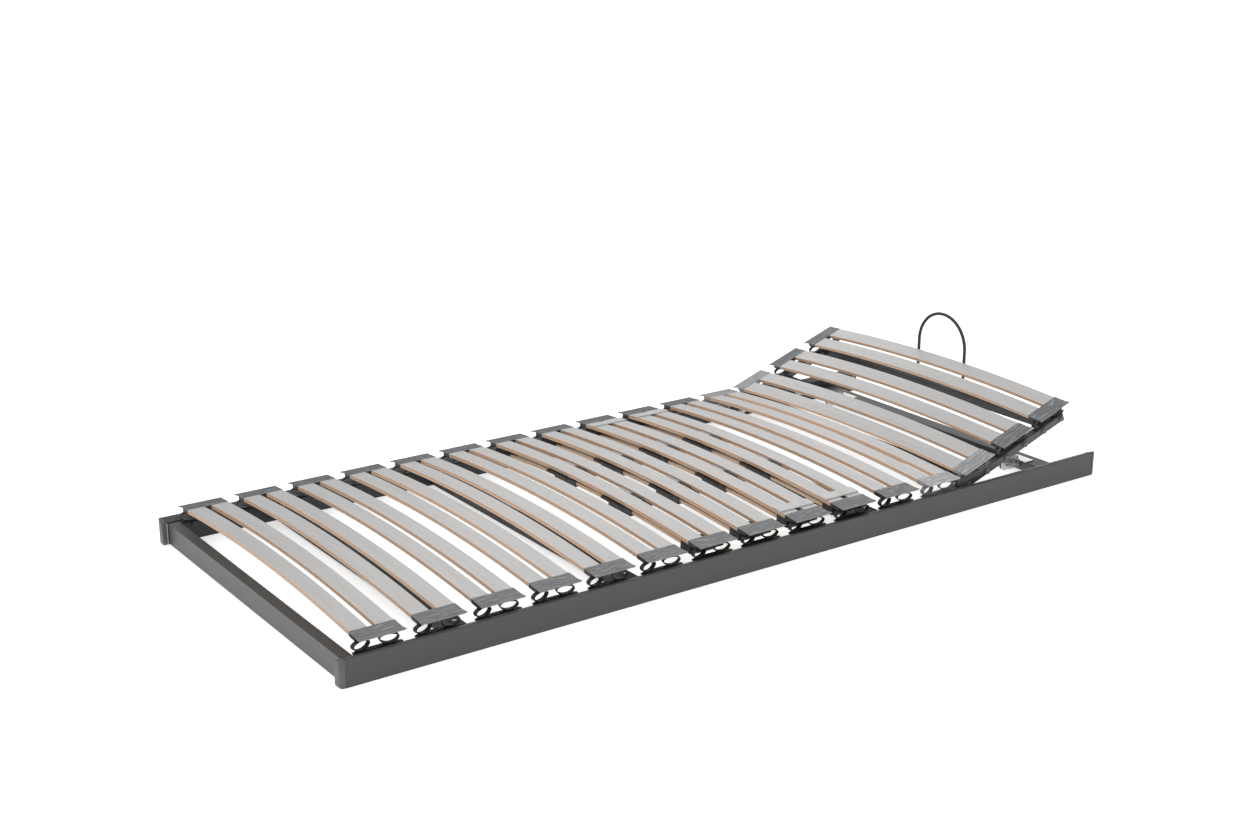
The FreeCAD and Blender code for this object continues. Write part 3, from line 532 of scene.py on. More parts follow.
def add_cap(shape, where, seed=0.0):
    """Thin shell with sweeping ridges over a darker socket for the two slat ends."""
    rows, columns = 26, 44
    rings = []
    for j in range(rows + 1):
        v = -CAP_HALF + 2 * CAP_HALF * j / rows
        foot, head = cap_edges(v)
        rim = min(1.0, 6.0 * min(j, rows - j) / rows)
        ring = []
        for i in range(columns + 1):
            u = foot + (head - foot) * i / columns
            phase = 2 * math.pi * v / RIDGE_PITCH + 2.6 * math.sin(48 * u + seed)
            phase += 1.9 * math.sin(95 * u - 70 * v + 2.3 * seed)
            edge = min(rim, 1.0, 8.0 * min(i, columns - i) / columns)
            ridge = RIDGE_BASE + RIDGE_HEIGHT * (0.5 + 0.5 * math.sin(phase)) ** 1.5
            ring.append((u, v, CAP_TOP + edge * ridge))
        ring += [(head, v, CAP_PLATE_LOW), (foot, v, CAP_PLATE_LOW)]
        rings.append(ring)
    shape.skin(rings, where, 0)
    # The outer rim curls down a little past the slat ends.
    shape.brick((-0.0462, -CAP_HALF + 0.0004, 0.0018), (0.0485, -CAP_HALF + 0.0019, 0.0036), where, 0)
    start = CAP_MID - SLAT_END_REACH
    foot = -0.0462
    head = 0.0466
    shape.brick((foot, start, SOCKET_LOW), (head, start + 0.0019, CAP_PLATE_LOW), where, 1)
    for low_x, high_x in ((foot, foot + 0.0011), (-0.0080, 0.0080), (head - 0.0011, head)):
        low = (low_x, start + 0.0019, SOCKET_LOW)
        shape.brick(low, (high_x, CAP_HALF - 0.0002, CAP_PLATE_LOW), where, 1)
    shape.brick((foot, start + 0.0019, -0.0055), (head, CAP_HALF - 0.0002, -0.0041), where, 1)
    # Ribs stiffen the overhanging plate from below.
    x = -0.042
    while x < 0.044:
        rib = [(x, start), (x + 0.0012, start), (x + 0.0012, -CAP_HALF + 0.0019), (x, -CAP_HALF + 0.0019)]
        shape.prism(rib, 0.0016, CAP_PLATE_LOW, where, 1)
        x += 0.012
    for centre in (-0.035, 0.023):
        shape.brick((centre - 0.009, -0.006, -0.0066), (centre + 0.009, 0.004, SOCKET_LOW), where, 1)


def build_caps(name, spots, body, slot, materials, replaced):
    shape = Shape()
    for seed, where in enumerate(spots):
        add_cap(shape, where, 1.7 * seed)
    shape.finish(name, body, slot, materials, replaced, bevel=0.0004, smooth=40)


# ---- elastomer loops ----

LOOP_LOW = 0.0500
LOOP_HIGH = 0.0704
LOOP_REACH = 0.395
LOOP_OUT = 0.007
LOOP_HALF = 0.0198
LOOP_DEPTH = 0.0100
LOOP_OFFSET = 0.029
LOOP_SHIFT = 0.006
LOOP_SPLAY = math.radians(12)
LOOP_WALL = 0.0024


def loop_path():
    """Lens-shaped ring: a broad shallow top and a deeper belly, with rounded ends."""
    points = []
    tip = LOOP_HIGH - 0.0085
    for i in range(40):
        a = 2 * math.pi * i / 40
        up = math.sin(a)
        rise = (LOOP_HIGH - tip) if up > 0 else (tip - LOOP_LOW)
        x = LOOP_HALF * math.copysign(abs(math.cos(a)) ** 0.95, math.cos(a))
        points.append((x, tip + rise * math.copysign(abs(up) ** (1.0 if up > 0 else 1.15), up)))
    return points


def add_loops(shape, centre, side, where, pegs):
    """Two splayed rings on a boat-shaped carrier."""
    out = LOOP_OUT if pegs else 0.0
    for sign in (-1, 1):
        along = centre + sign * LOOP_OFFSET - LOOP_SHIFT
        spot = where @ Matrix.Translation((along, side * (LOOP_REACH + out), 0))
        spot = spot @ Matrix.Rotation(sign * side * LOOP_SPLAY, 4, "Z")
        shape.strap(loop_path(), LOOP_WALL, LOOP_DEPTH, spot, 0)
        half = LOOP_DEPTH / 2
        foot = [(-0.0085, 0.0462), (0.0085, 0.0462), (0.0085, 0.0488), (0.0045, 0.0512), (-0.0045, 0.0512),
                (-0.0085, 0.0488)]
        lay = spot @ QUARTER_X
        shape.prism(foot, -half + 0.0008, half - 0.0008, lay, 1)
        low = (-0.0065, -half + 0.001, LOOP_HIGH - 0.0012)
        shape.brick(low, (0.0065, half - 0.001, LOOP_HIGH + 0.0003), spot, 1)
    tip = 0.052
    wide = 0.009
    boat = [(-tip, -0.0025), (-tip + 0.014, -wide), (tip - 0.014, -wide), (tip, -0.0025)]
    boat += [(tip, 0.0025), (tip - 0.014, wide), (-tip + 0.014, wide), (-tip, 0.0025)]
    spot = where @ Matrix.Translation((centre, side * (LOOP_REACH + out), 0))
    shape.prism(boat, 0.0460, 0.0484, spot, 1)
    rim = [(0.88 * x, 0.70 * y) for x, y in boat]
    shape.prism(rim, 0.0484, 0.0500, spot, 1)
    if pegs:
        for sign in (-1, 1):
            spot = where @ axis_y(centre + sign * 0.028, 0, 0.042)
            ends = sorted((-side * 0.3935, -side * (RAIL_INNER + 0.001)))
            length = ends[1] - ends[0]
            spot = spot @ Matrix.Translation((0, 0, ends[0]))
            shape.turned([(0.0049, 0), (0.0049, length)], spot, 1)


def build_loops(name, groups, body, slot, materials, replaced):
    shape = Shape()
    for centre, side, where, pegs in groups:
        add_loops(shape, centre, side, where, pegs)
    shape.finish(name, body, slot, materials, replaced, bevel=0.0007)


base_centres = {number: pair_centre(number) for number in range(1, 13)}
for side, suffix in SIDES:
    build_caps(
        "cap_shells_" + suffix, [cap_frame(base_centres[n], side) for n in range(1, 12)], "base_frame",
        "cap_dark_grey", [looks["cap_dark_grey"], tray_black], ["double_caps_" + suffix],
    )
    build_loops(
        "loop_rings_" + suffix, [(base_centres[n], side, FLAT, True) for n in range(1, 12)], "base_frame",
        "elastomer_black", [looks["elastomer_black"], tray_black], ["loop_bearings_" + suffix],
    )
build_caps(
    "neck_cap_shells_base", [cap_frame(base_centres[12], side) for side, _ in SIDES], "base_frame",
    "cap_light_grey", [looks["cap_light_grey"], tray_pale], ["neck_caps_base"],
)
build_loops(
    "neck_loop_rings_base", [(base_centres[12], side, FLAT, True) for side, _ in SIDES], "base_frame",
    "elastomer_grey", [looks["elastomer_grey"], looks["elastomer_grey"]], ["neck_loops_base"],
)
head_centres = [PIVOT.x + offset for offset in HEAD_FLAT]
build_caps(
    "neck_cap_shells_head", [HEAD @ cap_frame(head_centres[0], side) for side, _ in SIDES], "head_section",
    "cap_light_grey", [head_looks["cap_light_grey"], tray_pale_head], ["neck_caps_head"],
)
build_caps(
    "head_cap_shells", [HEAD @ cap_frame(centre, side) for centre in head_centres[1:] for side, _ in SIDES],
    "head_section", "cap_dark_grey", [head_looks["cap_dark_grey"], tray_black_head], ["head_caps"],
)
build_loops(
    "neck_loop_rings_head", [(head_centres[0], side, HEAD, False) for side, _ in SIDES], "head_section",
    "elastomer_grey", [head_looks["elastomer_grey"], head_looks["elastomer_grey"]], ["neck_loops_head"],
)
build_loops(
    "head_loop_rings", [(centre, side, HEAD, False) for centre in head_centres[1:] for side, _ in SIDES],
    "head_section", "elastomer_black", [head_looks["elastomer_black"], tray_black_head],
    ["head_loop_bearings"],
)

# ---- rail ends ----

def rail_top(reach, edge):
    """Height of a rail's top, which falls away to the inside from a flat outer strip."""
    return edge - RAIL_FALL * max(0.0, RAIL_SLOPE_START - reach) / RAIL_SLOPE_WIDTH


shape = Shape()
for end in (-1, 1):
    for side, _ in SIDES:
        corner = 0.0078
        outline = [(0.9902, 0.4112), (0.9990, 0.4112), (0.9997, 0.4119), (1.0000, 0.4128)]
        outline += [(1.0000, 0.4128 + (RAIL_OUTER - corner - 0.4128) * t) for t in (0.25, 0.5, 0.75)]
        for step in range(9):
            a = math.radians(90 * step / 8)
            across = RAIL_OUTER - corner + corner * math.sin(a)
            outline.append((1.0 - corner + corner * math.cos(a), across))
        outline.append((0.9902, RAIL_OUTER))
        outline += [(0.9902, RAIL_OUTER - 0.0248 * t) for t in (0.25, 0.5, 0.75)]
        mid = (0.9950, 0.4236)

        def level(inset, height, sloped):
            ring = []
            for x, y in outline:
                x = mid[0] + (x - mid[0]) * (1 - inset / 0.005)
                y = mid[1] + (y - mid[1]) * (1 - inset / 0.0125)
                z = rail_top(y, height) if sloped else height
                ring.append((end * x, side * y, z))
            return ring

        shape.skin([
            level(0.0022, 0.0, False), level(0.0006, 0.0010, False), level(0.0, 0.0032, False),
            level(0.0, 0.0557, True), level(0.0004, 0.0568, True), level(0.0013, 0.0575, True),
        ], FLAT, 0)
        shape.brick((0.9872 * end, side * 0.4124, 0.0015), (0.9900 * end, side * 0.4131, 0.0490), FLAT, 1)
shape.finish(
    "rail_end_mouldings", "base_frame", "end_cap_grey", [looks["end_cap_grey"], seam_wood],
    ["rail_end_caps"], bevel=0.0004,
)

# ---- pivot bolts and cross bar fittings ----

def bolt_head(shape, where, radius, height, slot=0):
    """Hexagon socket head."""
    shape.turned([
        (radius * 0.86, 0), (radius, height * 0.25), (radius, height * 0.8), (radius * 0.86, height),
        (radius * 0.5, height), (radius * 0.44, height * 0.45),
    ], where, slot, 24)


shape = Shape()
for side, _ in SIDES:
    where = Matrix.Translation((PIVOT.x, 0, PIVOT.z)) @ Matrix.Rotation(-side * math.pi / 2, 4, "X")
    shape.turned([(0.0040, 0.3775), (0.0040, 0.4205)], where)
    shape.turned([(0.0060, 0.3856), (0.0065, 0.3863), (0.0065, 0.4123), (0.0060, 0.4130)], where)
    back = Matrix.Translation((PIVOT.x, side * 0.3804, PIVOT.z)) @ Matrix.Rotation(side * math.pi / 2, 4, "X")
    bolt_head(shape, back, 0.0070, 0.0040)
shape.finish("pivot_screws", "base_frame", "pivot_steel", [looks["pivot_steel"]], ["pivot_bolts"], bevel=0)

shape = Shape()
for name in ("cross_bar_calf", "cross_bar_thigh", "cross_bar_lumbar"):
    low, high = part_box(name)
    for side, _ in SIDES:
        where = Matrix.Translation(((low.x + high.x) / 2, side * 0.375, high.z))
        shape.turned([
            (0.0045, -0.0002), (0.0045, 0.0003), (0.0038, 0.0006), (0.0026, 0.0006), (0.0023, 0.0001),
        ], where)
shape.finish(
    "bar_eyelets", "base_frame", "fitting_steel", [looks["fitting_steel"]], ["frame_fittings"], bevel=0,
)

# ---- bearing knobs on the raised section ----

shape = Shape()
for centre in head_centres:
    for sign in (-1, 1):
        for side, _ in SIDES:
            where = HEAD @ Matrix.Translation((centre + sign * 0.0305, side * 0.405, 0.038))
            where = where @ Matrix.Rotation(-side * math.pi / 2, 4, "X")
            shape.turned([
                (0.0058, 0.0), (0.0065, 0.0008), (0.0065, 0.0036), (0.0061, 0.0050), (0.0050, 0.0058),
                (0.0030, 0.0060), (0.0026, 0.0052), (0.0022, 0.0050),
            ], where, 0, 28)
shape.finish(
    "knob_buttons", "head_section", "knob_grey", [head_looks["knob_grey"]], ["bearing_knobs"], bevel=0,
)

# ---- hangers, bridges and latches ----

shape = Shape()
for number in range(7, 11):
    for side, _ in SIDES:
        where = cap_frame(base_centres[number], side)
        inner = CAP_MID - 0.352
        outer = CAP_MID - 0.3855
        under_top = -UNDER_DROP + SLAT
        # Side posts, top plate and floor round the under-slat's end.
        for low, high in ((-0.044, -0.0252), (0.0252, 0.044)):
            shape.brick((low, outer, -0.0258), (high, inner, -0.0055), where)
            start = low + 0.0016
            while start + 0.0024 < high:
                top = (start + 0.0012, inner + 0.0008, -0.0070)
                shape.brick((start, inner - 0.0006, -0.0245), top, where)
                start += 0.0036
            for level in (-0.0225, -0.0150):
                edge = low if low < 0 else high
                step = 0.0012 if low < 0 else -0.0012
                shape.brick((edge - step, outer + 0.004, level), (edge, inner - 0.004, level + 0.0035), where)
        shape.brick((-0.0252, outer, under_top + 0.0042), (0.0252, inner, -0.0055), where)
        shape.brick((-0.0252, outer, -0.0258), (0.0252, outer + 0.003, under_top + 0.0042), where)
shape.finish(
    "under_slat_holders", "base_frame", "hanger_black", [looks["hanger_black"]], ["under_slat_hangers"],
    bevel=0.0008,
)


BRIDGE_REACH = 0.354
LATCH_REACH = 0.362


def shoulder_frame(number, side, reach):
    lean = math.asin(BRIDGE_REACH / RADIUS)
    where = Matrix.Translation((base_centres[number], side * reach, surface(reach)))
    if side > 0:
        where = where @ Matrix.Rotation(math.pi, 4, "Z")
    return where @ Matrix.Rotation(lean, 4, "X")


shape = Shape()
latch = Shape()
for number in (9, 10):
    for side, _ in SIDES:
        where = shoulder_frame(number, side, BRIDGE_REACH)
        outline = []
        corners = ((0.045, 0.011, 0), (-0.045, 0.011, 90), (-0.045, -0.011, 180), (0.045, -0.011, 270))
        for cx, cy, start in corners:
            for step in range(5):
                a = math.radians(start + 22.5 * step)
                outline.append((cx + 0.003 * math.cos(a), cy + 0.003 * math.sin(a)))
        small = [(0.985 * x, 0.94 * y) for x, y in outline]
        shape.skin([
            [(x, y, 0.0001) for x, y in outline], [(x, y, 0.0019) for x, y in outline],
            [(x, y, 0.0029) for x, y in small],
        ], where, 0)
        # A thin black strip along the plate's outer edge stands in for the shadow under that edge: painted
        # shadow.
        shape.brick((-0.0470, -0.0139, 0.0003), (0.0470, -0.0128, 0.0013), where, 1)
        spot = shoulder_frame(number, side, LATCH_REACH)
        teeth = [(-0.0072, -0.016), (0.0072, -0.016), (0.0072, -0.011), (0.0058, -0.009), (0.0072, -0.007)]
        teeth += [(0.0072, -0.003), (0.0058, -0.001), (0.0072, 0.001), (0.0072, 0.005), (0.0058, 0.007)]
        teeth += [(0.0072, 0.009), (0.0072, 0.012), (0.0035, 0.0125), (-0.0035, 0.0125), (-0.0072, 0.012)]
        teeth += [(-0.0058, 0.004), (-0.0072, 0.002), (-0.0058, -0.005), (-0.0072, -0.007)]
        latch.prism(teeth, -0.0070, -0.0012, spot, 0)
        for place in (-0.012, -0.006, 0.0, 0.006):
            rib = [(-0.0045, place), (0.0045, place + 0.0015)]
            rib += [(0.0045, place + 0.0038), (-0.0045, place + 0.0023)]
            latch.prism(rib, -0.0016, -0.0003, spot, 0)
shape.finish(
    "shoulder_plates", "base_frame", "bridge_light_grey", [looks["bridge_light_grey"], tray_black],
    ["shoulder_bridges"], bevel=0.0004,
)
latch.finish(
    "shoulder_catches", "base_frame", "latch_black", [looks["latch_black"]], ["shoulder_latches"],
    bevel=0.0005,
)

# ---- firmness sliders ----

SLIDER_REACH = 0.109
SLIDER_HALF = 0.042
SLIDER_LEAN = math.asin(SLIDER_REACH / RADIUS)
SLIDER_LEVEL = surface(SLIDER_REACH) - UNDER_DROP - SLAT / 2
for number in range(7, 11):
    for side, suffix in SIDES:
        where = Matrix.Translation((base_centres[number], side * SLIDER_REACH, SLIDER_LEVEL))
        where = where @ Matrix.Rotation(-side * SLIDER_LEAN, 4, "X")
        shape = Shape()
        half = SLIDER_HALF
        for low, high in ((-0.0295, -0.0267), (0.0267, 0.0295)):
            shape.brick((low, -half, -0.0085), (high, half, 0.0085), where)
        shape.brick((-0.0295, -half, -0.0085), (0.0295, half, -0.0057), where)
        shape.brick((-0.0295, -half, 0.0057), (0.0295, half, 0.0085), where)
        for place in (-0.036, -0.018, 0.0, 0.018, 0.036):
            shape.brick((-0.0238, place - 0.0014, 0.0085), (0.0238, place + 0.0014, 0.0131), where)
        for place in (-0.0232, 0.0, 0.0232):
            low = (place - 0.0008, -half + 0.001, 0.0085)
            shape.brick(low, (place + 0.0008, half - 0.001, 0.0131), where)
        # Cradle under the slat pair with upturned ribs at both ends and a pale insert.
        shape.prism(
            [(-0.0500, -half), (0.0500, -half), (0.0520, -half + 0.003), (0.0520, half - 0.003),
             (0.0500, half), (-0.0500, half), (-0.0520, half - 0.003), (-0.0520, -half + 0.003)],
            0.0130, 0.0182, where,
        )
        for place in (-0.0405, -0.030, -0.0195, -0.009, 0.0015, 0.012, 0.0225, 0.033):
            for start in (-0.0515, 0.0395):
                shape.brick((start, place, 0.0180), (start + 0.012, place + 0.0022, 0.0192), where)
        # Grip between the two slats: a pale indicator plate on one half, a ribbed black pad on the other.
        shape.prism(
            [(-0.0066, 0.0006), (0.0066, 0.0006), (0.0066, half - 0.003), (0.0048, half - 0.0006),
             (-0.0048, half - 0.0006), (-0.0066, half - 0.003)], 0.0180, 0.0260, where, 1,
        )
        shape.prism(
            [(-0.0048, -half + 0.0006), (0.0048, -half + 0.0006), (0.0066, -half + 0.003), (0.0066, -0.0004),
             (-0.0066, -0.0004), (-0.0066, -half + 0.003)], 0.0180, 0.0250, where, 0,
        )
        for place in (-0.036, -0.030, -0.024, -0.018, -0.012, -0.006):
            shape.brick((-0.0062, place, 0.0248), (0.0062, place + 0.0026, 0.0258), where, 0)
        name = "slider_%02d_%s" % (number, suffix)
        shape.finish(
            "firmness_" + name, "body_" + name, "slider_charcoal", [looks["slider_charcoal"], insert_grey],
            [name], bevel=0.0006,
        )

# ---- ratchets ----

PROP_LENGTH = 0.140
PROP_REACH = 0.314
SLOT_START = 0.8233
SLOT_END = 0.8558
SLOT_HALF = 0.0044
BRACKET_ANGLE = -math.asin(0.002 / PROP_LENGTH)
WORLD_ANGLE = REST_TILT + BRACKET_ANGLE
UPPER = Vector((
    PIVOT.x + PROP_LENGTH * math.cos(WORLD_ANGLE), 0, PIVOT.z + PROP_LENGTH * math.sin(WORLD_ANGLE),
))


def flat_plate(shape, outline, y, thick, where=FLAT, slot=0):
    """Outline in XZ, drawn symmetric about a plane of constant Y."""
    lay = where @ Matrix.Translation((0, y, 0)) @ QUARTER_X
    shape.prism(outline, -thick / 2, thick / 2, lay, slot)


def ring_plate(shape, outer, inner, y, thick, slot=0):
    """Plate between an outer outline and a slot, both sampled at the same number of points."""
    rings = []
    for depth, edge in ((-1, outer), (1, outer), (1, inner), (-1, inner)):
        rings.append([(x, y + depth * thick / 2, z) for x, z in edge])
    count = len(outer)
    bm = shape.bm
    made = [[bm.verts.new(point) for point in ring] for ring in rings]
    for first, second in zip(made, made[1:] + made[:1]):
        for i in range(count):
            j = (i + 1) % count
            bm.faces.new((first[i], first[j], second[j], second[i])).material_index = slot


def resample(outline, count, centre):
    """Points of a closed outline met by rays from the centre, in even turns."""
    found = []
    for k in range(count):
        a = 2 * math.pi * k / count
        way = Vector((math.cos(a), math.sin(a)))
        best = None
        for i in range(len(outline)):
            p = Vector(outline[i]) - centre
            q = Vector(outline[(i + 1) % len(outline)]) - centre
            edge = q - p
            cross = way.x * edge.y - way.y * edge.x
            if abs(cross) < 1e-12:
                continue
            reach = (p.x * edge.y - p.y * edge.x) / cross
            along = (p.x * way.y - p.y * way.x) / cross
            if reach > 0 and -1e-6 <= along <= 1 + 1e-6 and (best is None or reach < best):
                best = reach
        found.append(tuple(centre + way * best))
    return found


def spring(shape, start, end, radius, wire, turns, slot=0):
    """Coil between two points."""
    start = Vector(start)
    way = Vector(end) - start
    length = way.length
    turn = way.to_track_quat("Z", "Y").to_matrix().to_4x4()
    steps = turns * 12
    path = []
    for i in range(steps + 1):
        a = 2 * math.pi * turns * i / steps
        path.append((radius * math.cos(a), radius * math.sin(a), length * i / steps))
    shape.tube(path, wire, Matrix.Translation(start) @ turn, slot, 6)


shape = Shape()
rack_middle = Vector((0.8395, 0.028))
outline = [(0.812, 0.0142), (0.8679, 0.0142), (0.8679, 0.0308), (0.862, 0.0362), (0.859, 0.0440)]
for tooth in range(5):
    edge = 0.855 - 0.008 * tooth
    outline += [(edge, 0.0440), (edge - 0.003, 0.0402), (edge - 0.006, 0.0402)]
outline += [(0.810, 0.0440), (0.8062, 0.0382), (0.8062, 0.0220)]
hole = []
for x, low in ((SLOT_END, -90), (SLOT_START, 90)):
    for k in range(13):
        a = math.radians(low + 15 * k)
        hole.append((x + SLOT_HALF * math.cos(a), 0.028 + SLOT_HALF * math.sin(a)))
count = 144
outer_ring = resample(outline, count, rack_middle)
inner_ring = resample(hole, count, rack_middle)
for side, _ in SIDES:
    middle = side * PROP_REACH
    for sign in (-1, 1):
        ring_plate(shape, outer_ring, inner_ring, middle + sign * 0.0044, 0.0029)
    shape.brick((0.816, middle - 0.0059, 0.0141), (0.868, middle + 0.0059, 0.0168), FLAT)
    shape.brick((0.8652, middle - 0.0258, 0.0282), (0.8918, middle + 0.0258, 0.0308), FLAT)
    for place in (-0.0185, 0.0185):
        bolt_head(shape, Matrix.Translation((0.8800, middle + place, 0.0272)), 0.0052, 0.0037)
    boss = Matrix.Translation((0.880, middle, 0.0279))
    shape.turned([(0.0062, 0.0), (0.0062, 0.0022), (0.0040, 0.0030)], boss, 0, 18)
    for place in (-0.0082, 0.0082):
        start, end = (0.8120, middle + place, 0.0330), (0.8600, middle + place, 0.0205)
        spring(shape, start, end, 0.0017, 0.0005, 15)
    for place in (0.8128, 0.8590):
        level = 0.0330 if place < 0.83 else 0.0208
        shape.turned([(0.0019, -0.0100), (0.0019, 0.0100)], axis_y(place, middle, level), 0, 12)
shape.finish(
    "rack_plates", "base_frame", "rack_steel", [looks["rack_steel"]], ["ratchet_racks"], bevel=0.0004,
)

for side, suffix in SIDES:
    where = Matrix.Translation((UPPER.x, side * PROP_REACH, UPPER.z)) @ Matrix.Rotation(WORLD_ANGLE, 4, "Y")
    shape = Shape()
    outline = []
    for step in range(13):
        a = math.radians(-85 + 170 * step / 12)
        outline.append((PROP_LENGTH + 0.0069 * math.cos(a), 0.0069 * math.sin(a)))
    outline += [(PROP_LENGTH - 0.008, 0.0058), (0.008, 0.0058)]
    for step in range(13):
        a = math.radians(95 + 170 * step / 12)
        outline.append((0.0069 * math.cos(a), 0.0069 * math.sin(a)))
    outline += [(0.008, -0.0058), (PROP_LENGTH - 0.008, -0.0058)]
    flat_plate(shape, outline, 0, 0.0030, where)
    for low, high in ((-0.0058, -0.0044), (0.0044, 0.0058)):
        shape.brick((0.012, -0.0024, low), (PROP_LENGTH - 0.012, 0.0024, high), where)
    pin = where @ Matrix.Translation((PROP_LENGTH, 0, 0)) @ QUARTER_X
    shape.turned([(0.0034, -0.0070), (0.0039, -0.0066), (0.0039, 0.0066), (0.0034, 0.0070)], pin)
    for place in (0, PROP_LENGTH):
        boss = where @ Matrix.Translation((place, 0, 0)) @ QUARTER_X
        shape.turned([(0.0058, -0.0024), (0.0058, 0.0024)], boss)
    shape.finish(
        "prop_arm_" + suffix, "prop_" + suffix, "prop_steel", [looks["prop_steel"]],
        ["ratchet_prop_" + suffix], bevel=0.0004,
    )

shape = Shape()
place = (PIVOT.x + PROP_LENGTH * math.cos(BRACKET_ANGLE), PIVOT.z + PROP_LENGTH * math.sin(BRACKET_ANGLE))
for side, _ in SIDES:
    ear = [(-0.0088, -0.0050), (-0.0065, -0.0078), (-0.0035, -0.0089), (0.0035, -0.0089), (0.0065, -0.0078)]
    ear += [(0.0088, -0.0050), (0.0138, 0.0084), (-0.0098, 0.0084)]
    for sign in (-1, 1):
        plate = [(place[0] + x, place[1] + z) for x, z in ear]
        flat_plate(shape, plate, side * PROP_REACH + sign * 0.0044, 0.0028, HEAD)
    pin = HEAD @ axis_y(place[0], side * PROP_REACH, place[1])
    shape.turned([(0.0034, -0.0078), (0.0039, -0.0074), (0.0039, 0.0074), (0.0034, 0.0078)], pin)
    for sign in (-1, 1):
        spot = pin @ Matrix.Translation((0, 0, sign * 0.0064))
        shape.turned([(0.0060, -0.0005), (0.0060, 0.0005)], spot)
shape.finish(
    "bracket_ears", "head_section", "bracket_steel", [head_looks["bracket_steel"]], ["ratchet_brackets"],
    bevel=0.0004,
)

# ---- mattress retainer ----

HOOP_FLAT_Z = PIVOT.z + 0.017
HOOP_START = PIVOT.x + 0.318
HOOP_BEND = PIVOT.x + 0.355
along = Vector((math.sin(REST_TILT), 0, math.cos(REST_TILT)))
HOOP_HALF = 0.080
HOOP_CREST = 0.159
HOOP_ROD = 0.004
HOOP_CORNER = 0.014


def hoop_leg(sign):
    start = Vector((HOOP_START, sign * HOOP_HALF, HOOP_FLAT_Z))
    bend = Vector((HOOP_BEND, sign * HOOP_HALF, HOOP_FLAT_Z))
    before = bend - Vector((HOOP_CORNER, 0, 0))
    after = bend + along * HOOP_CORNER
    points = [start, start.lerp(before, 0.5)]
    for step in range(9):
        t = step / 8
        points.append(before * (1 - t) ** 2 + bend * 2 * t * (1 - t) + after * t ** 2)
    straight = HOOP_CREST - HOOP_HALF - HOOP_CORNER
    points += [bend + along * (HOOP_CORNER + straight * t) for t in (0.33, 0.66)]
    return points


arch = []
for step in range(33):
    a = math.pi * step / 32
    base = Vector((HOOP_BEND, 0, HOOP_FLAT_Z)) + along * (HOOP_CREST - HOOP_HALF + HOOP_HALF * math.sin(a))
    arch.append(base + Vector((0, -HOOP_HALF * math.cos(a), 0)))
shape = Shape()
shape.tube(hoop_leg(-1) + arch + list(reversed(hoop_leg(1))), HOOP_ROD, HEAD, 0, 20)
shape.finish(
    "retainer_rod", "head_section", "hoop_black", [head_looks["hoop_black"]], ["mattress_retainer"],
    bevel=0,
)

shape = Shape()
start = PIVOT.x + 0.324
for side, _ in SIDES:
    low = (start, side * HOOP_HALF - 0.0098, 0.0372)
    shape.brick(low, (start + 0.0062, side * HOOP_HALF + 0.0098, 0.0528), HEAD)
    spot = HEAD @ Matrix.Translation((start, side * HOOP_HALF, HOOP_FLAT_Z))
    spot = spot @ Matrix.Rotation(math.pi / 2, 4, "Y")
    shape.turned([(0.0070, 0.0060), (0.0066, 0.0084), (0.0058, 0.0090), (0.0044, 0.0090)], spot, 0, 24)
    for sign in (-1, 1):
        across = side * HOOP_HALF + sign * 0.0078
        spot = HEAD @ Matrix.Translation((start + 0.0056, across, HOOP_FLAT_Z + sign * 0.0052))
        spot = spot @ Matrix.Rotation(math.pi / 2, 4, "Y")
        shape.turned([(0.0017, 0), (0.0017, 0.0014), (0.0010, 0.0018)], spot, 0, 12)
shape.finish(
    "retainer_sockets", "head_section", "clamp_black", [head_looks["clamp_black"]], ["retainer_clamps"],
)

# ---- floor, light and camera ----

def stage_plane(name, size, material):
    bm = bmesh.new()
    bmesh.ops.create_grid(bm, x_segments=2, y_segments=2, size=size)
    mesh = bpy.data.meshes.new(name)
    bm.to_mesh(mesh)
    bm.free()
    mesh.materials.append(material)
    floor = bpy.data.objects.new(name, mesh)
    bpy.context.scene.collection.objects.link(floor)


paper = Paint("studio_floor")
cloud = paper.noise(1.5, 2, 0.5)
paper.finish(
    Base_Color=paper.mix(cloud, (0.93, 0.93, 0.93, 1), (0.95, 0.95, 0.95, 1)), Roughness=0.9,
    Emission_Color=(1, 1, 1, 1), Emission_Strength=0.60,
)
stage_plane("floor", 30.0, paper.material)

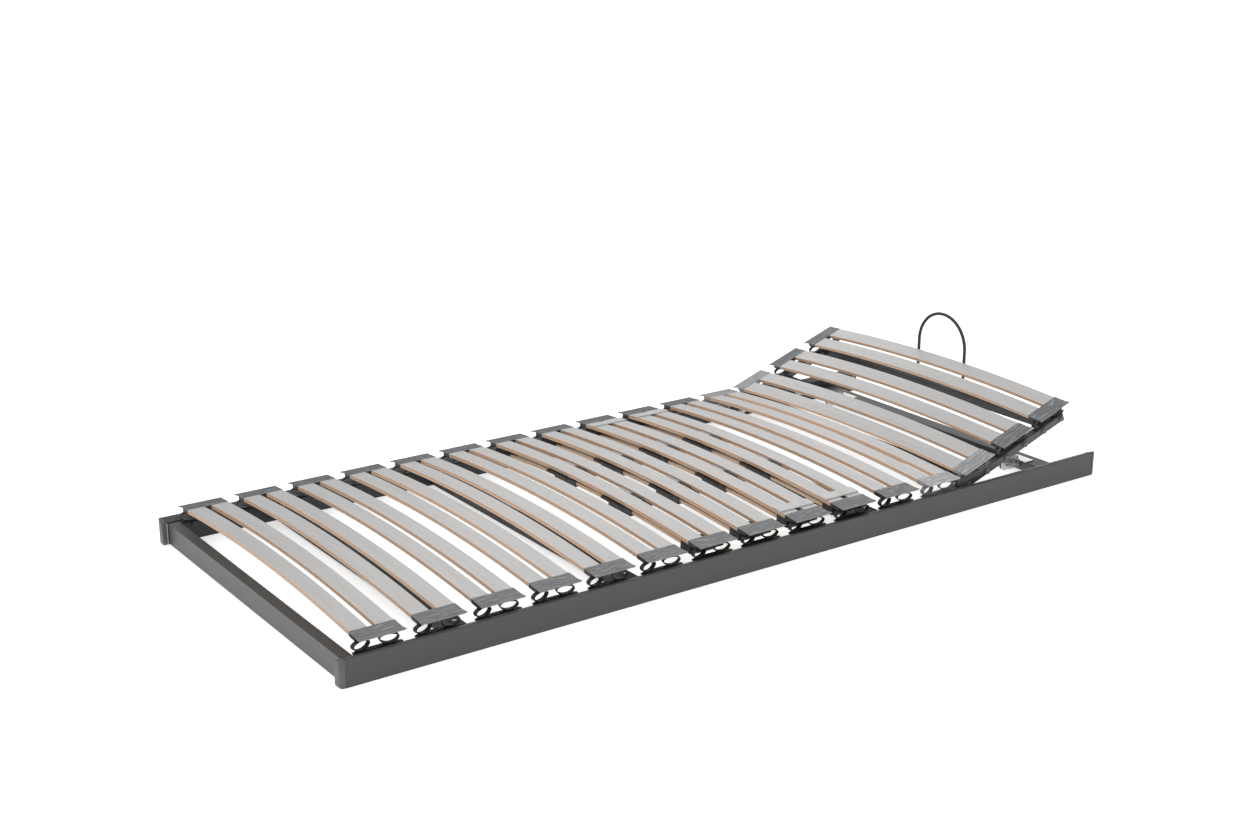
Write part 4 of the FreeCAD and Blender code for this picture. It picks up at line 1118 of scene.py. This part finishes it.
world = bpy.data.worlds.new("studio")
world.use_nodes = True
sky = world.node_tree
aim = sky.nodes.new("ShaderNodeTexCoord")
axes = sky.nodes.new("ShaderNodeSeparateXYZ")
dome = sky.nodes.new("ShaderNodeMapRange")
# From the horizon up to a height of 0.45, the dome goes from 0.26 to 0.60.
for socket, number in zip(dome.inputs[1:5], (0.0, 0.45, 0.26, 0.60)):
    socket.default_value = number
sky.links.new(aim.outputs["Generated"], axes.inputs[0])
sky.links.new(axes.outputs[2], dome.inputs[0])
sky.links.new(dome.outputs[0], sky.nodes["Background"].inputs["Color"])
sky.nodes["Background"].inputs["Strength"].default_value = 1.0
bpy.context.scene.world = world


def area_light(name, place, target, size, power):
    data = bpy.data.lights.new(name, "AREA")
    data.shape = "RECTANGLE"
    data.size, data.size_y = size
    data.energy = power
    lamp = bpy.data.objects.new(name, data)
    lamp.location = place
    lamp.rotation_euler = (Vector(target) - Vector(place)).to_track_quat("-Z", "Y").to_euler()
    bpy.context.scene.collection.objects.link(lamp)


area_light("soft_box_top", (0.2, 0.4, 4.2), (0, 0, 0), (4.5, 3.5), 42)
area_light("soft_box_far", (4.5, 5.3, 3.7), (0.1, -0.3, 0.05), (4.5, 2.6), 70)
area_light("soft_box_near", (-3.4, -2.2, 2.4), (0, 0, 0.05), (2.5, 1.6), 16)

CAMERA_AZIMUTH = 54.81
CAMERA_DIP = 17.90
CAMERA_PLACE = (-2.2636, -3.1233, 1.4564)
camera_data = bpy.data.cameras.new("camera")
camera_data.sensor_fit = "HORIZONTAL"
camera_data.sensor_width = 36.0
camera_data.lens = 51.56
camera = bpy.data.objects.new("camera", camera_data)
camera.location = CAMERA_PLACE
turn = math.radians(CAMERA_AZIMUTH)
dip = math.radians(CAMERA_DIP)
ahead = Vector((math.cos(turn) * math.cos(dip), math.sin(turn) * math.cos(dip), -math.sin(dip)))
camera.rotation_euler = ahead.to_track_quat("-Z", "Y").to_euler()
bpy.context.scene.collection.objects.link(camera)
bpy.context.scene.camera = camera
bpy.context.scene.view_settings.view_transform = "Standard"
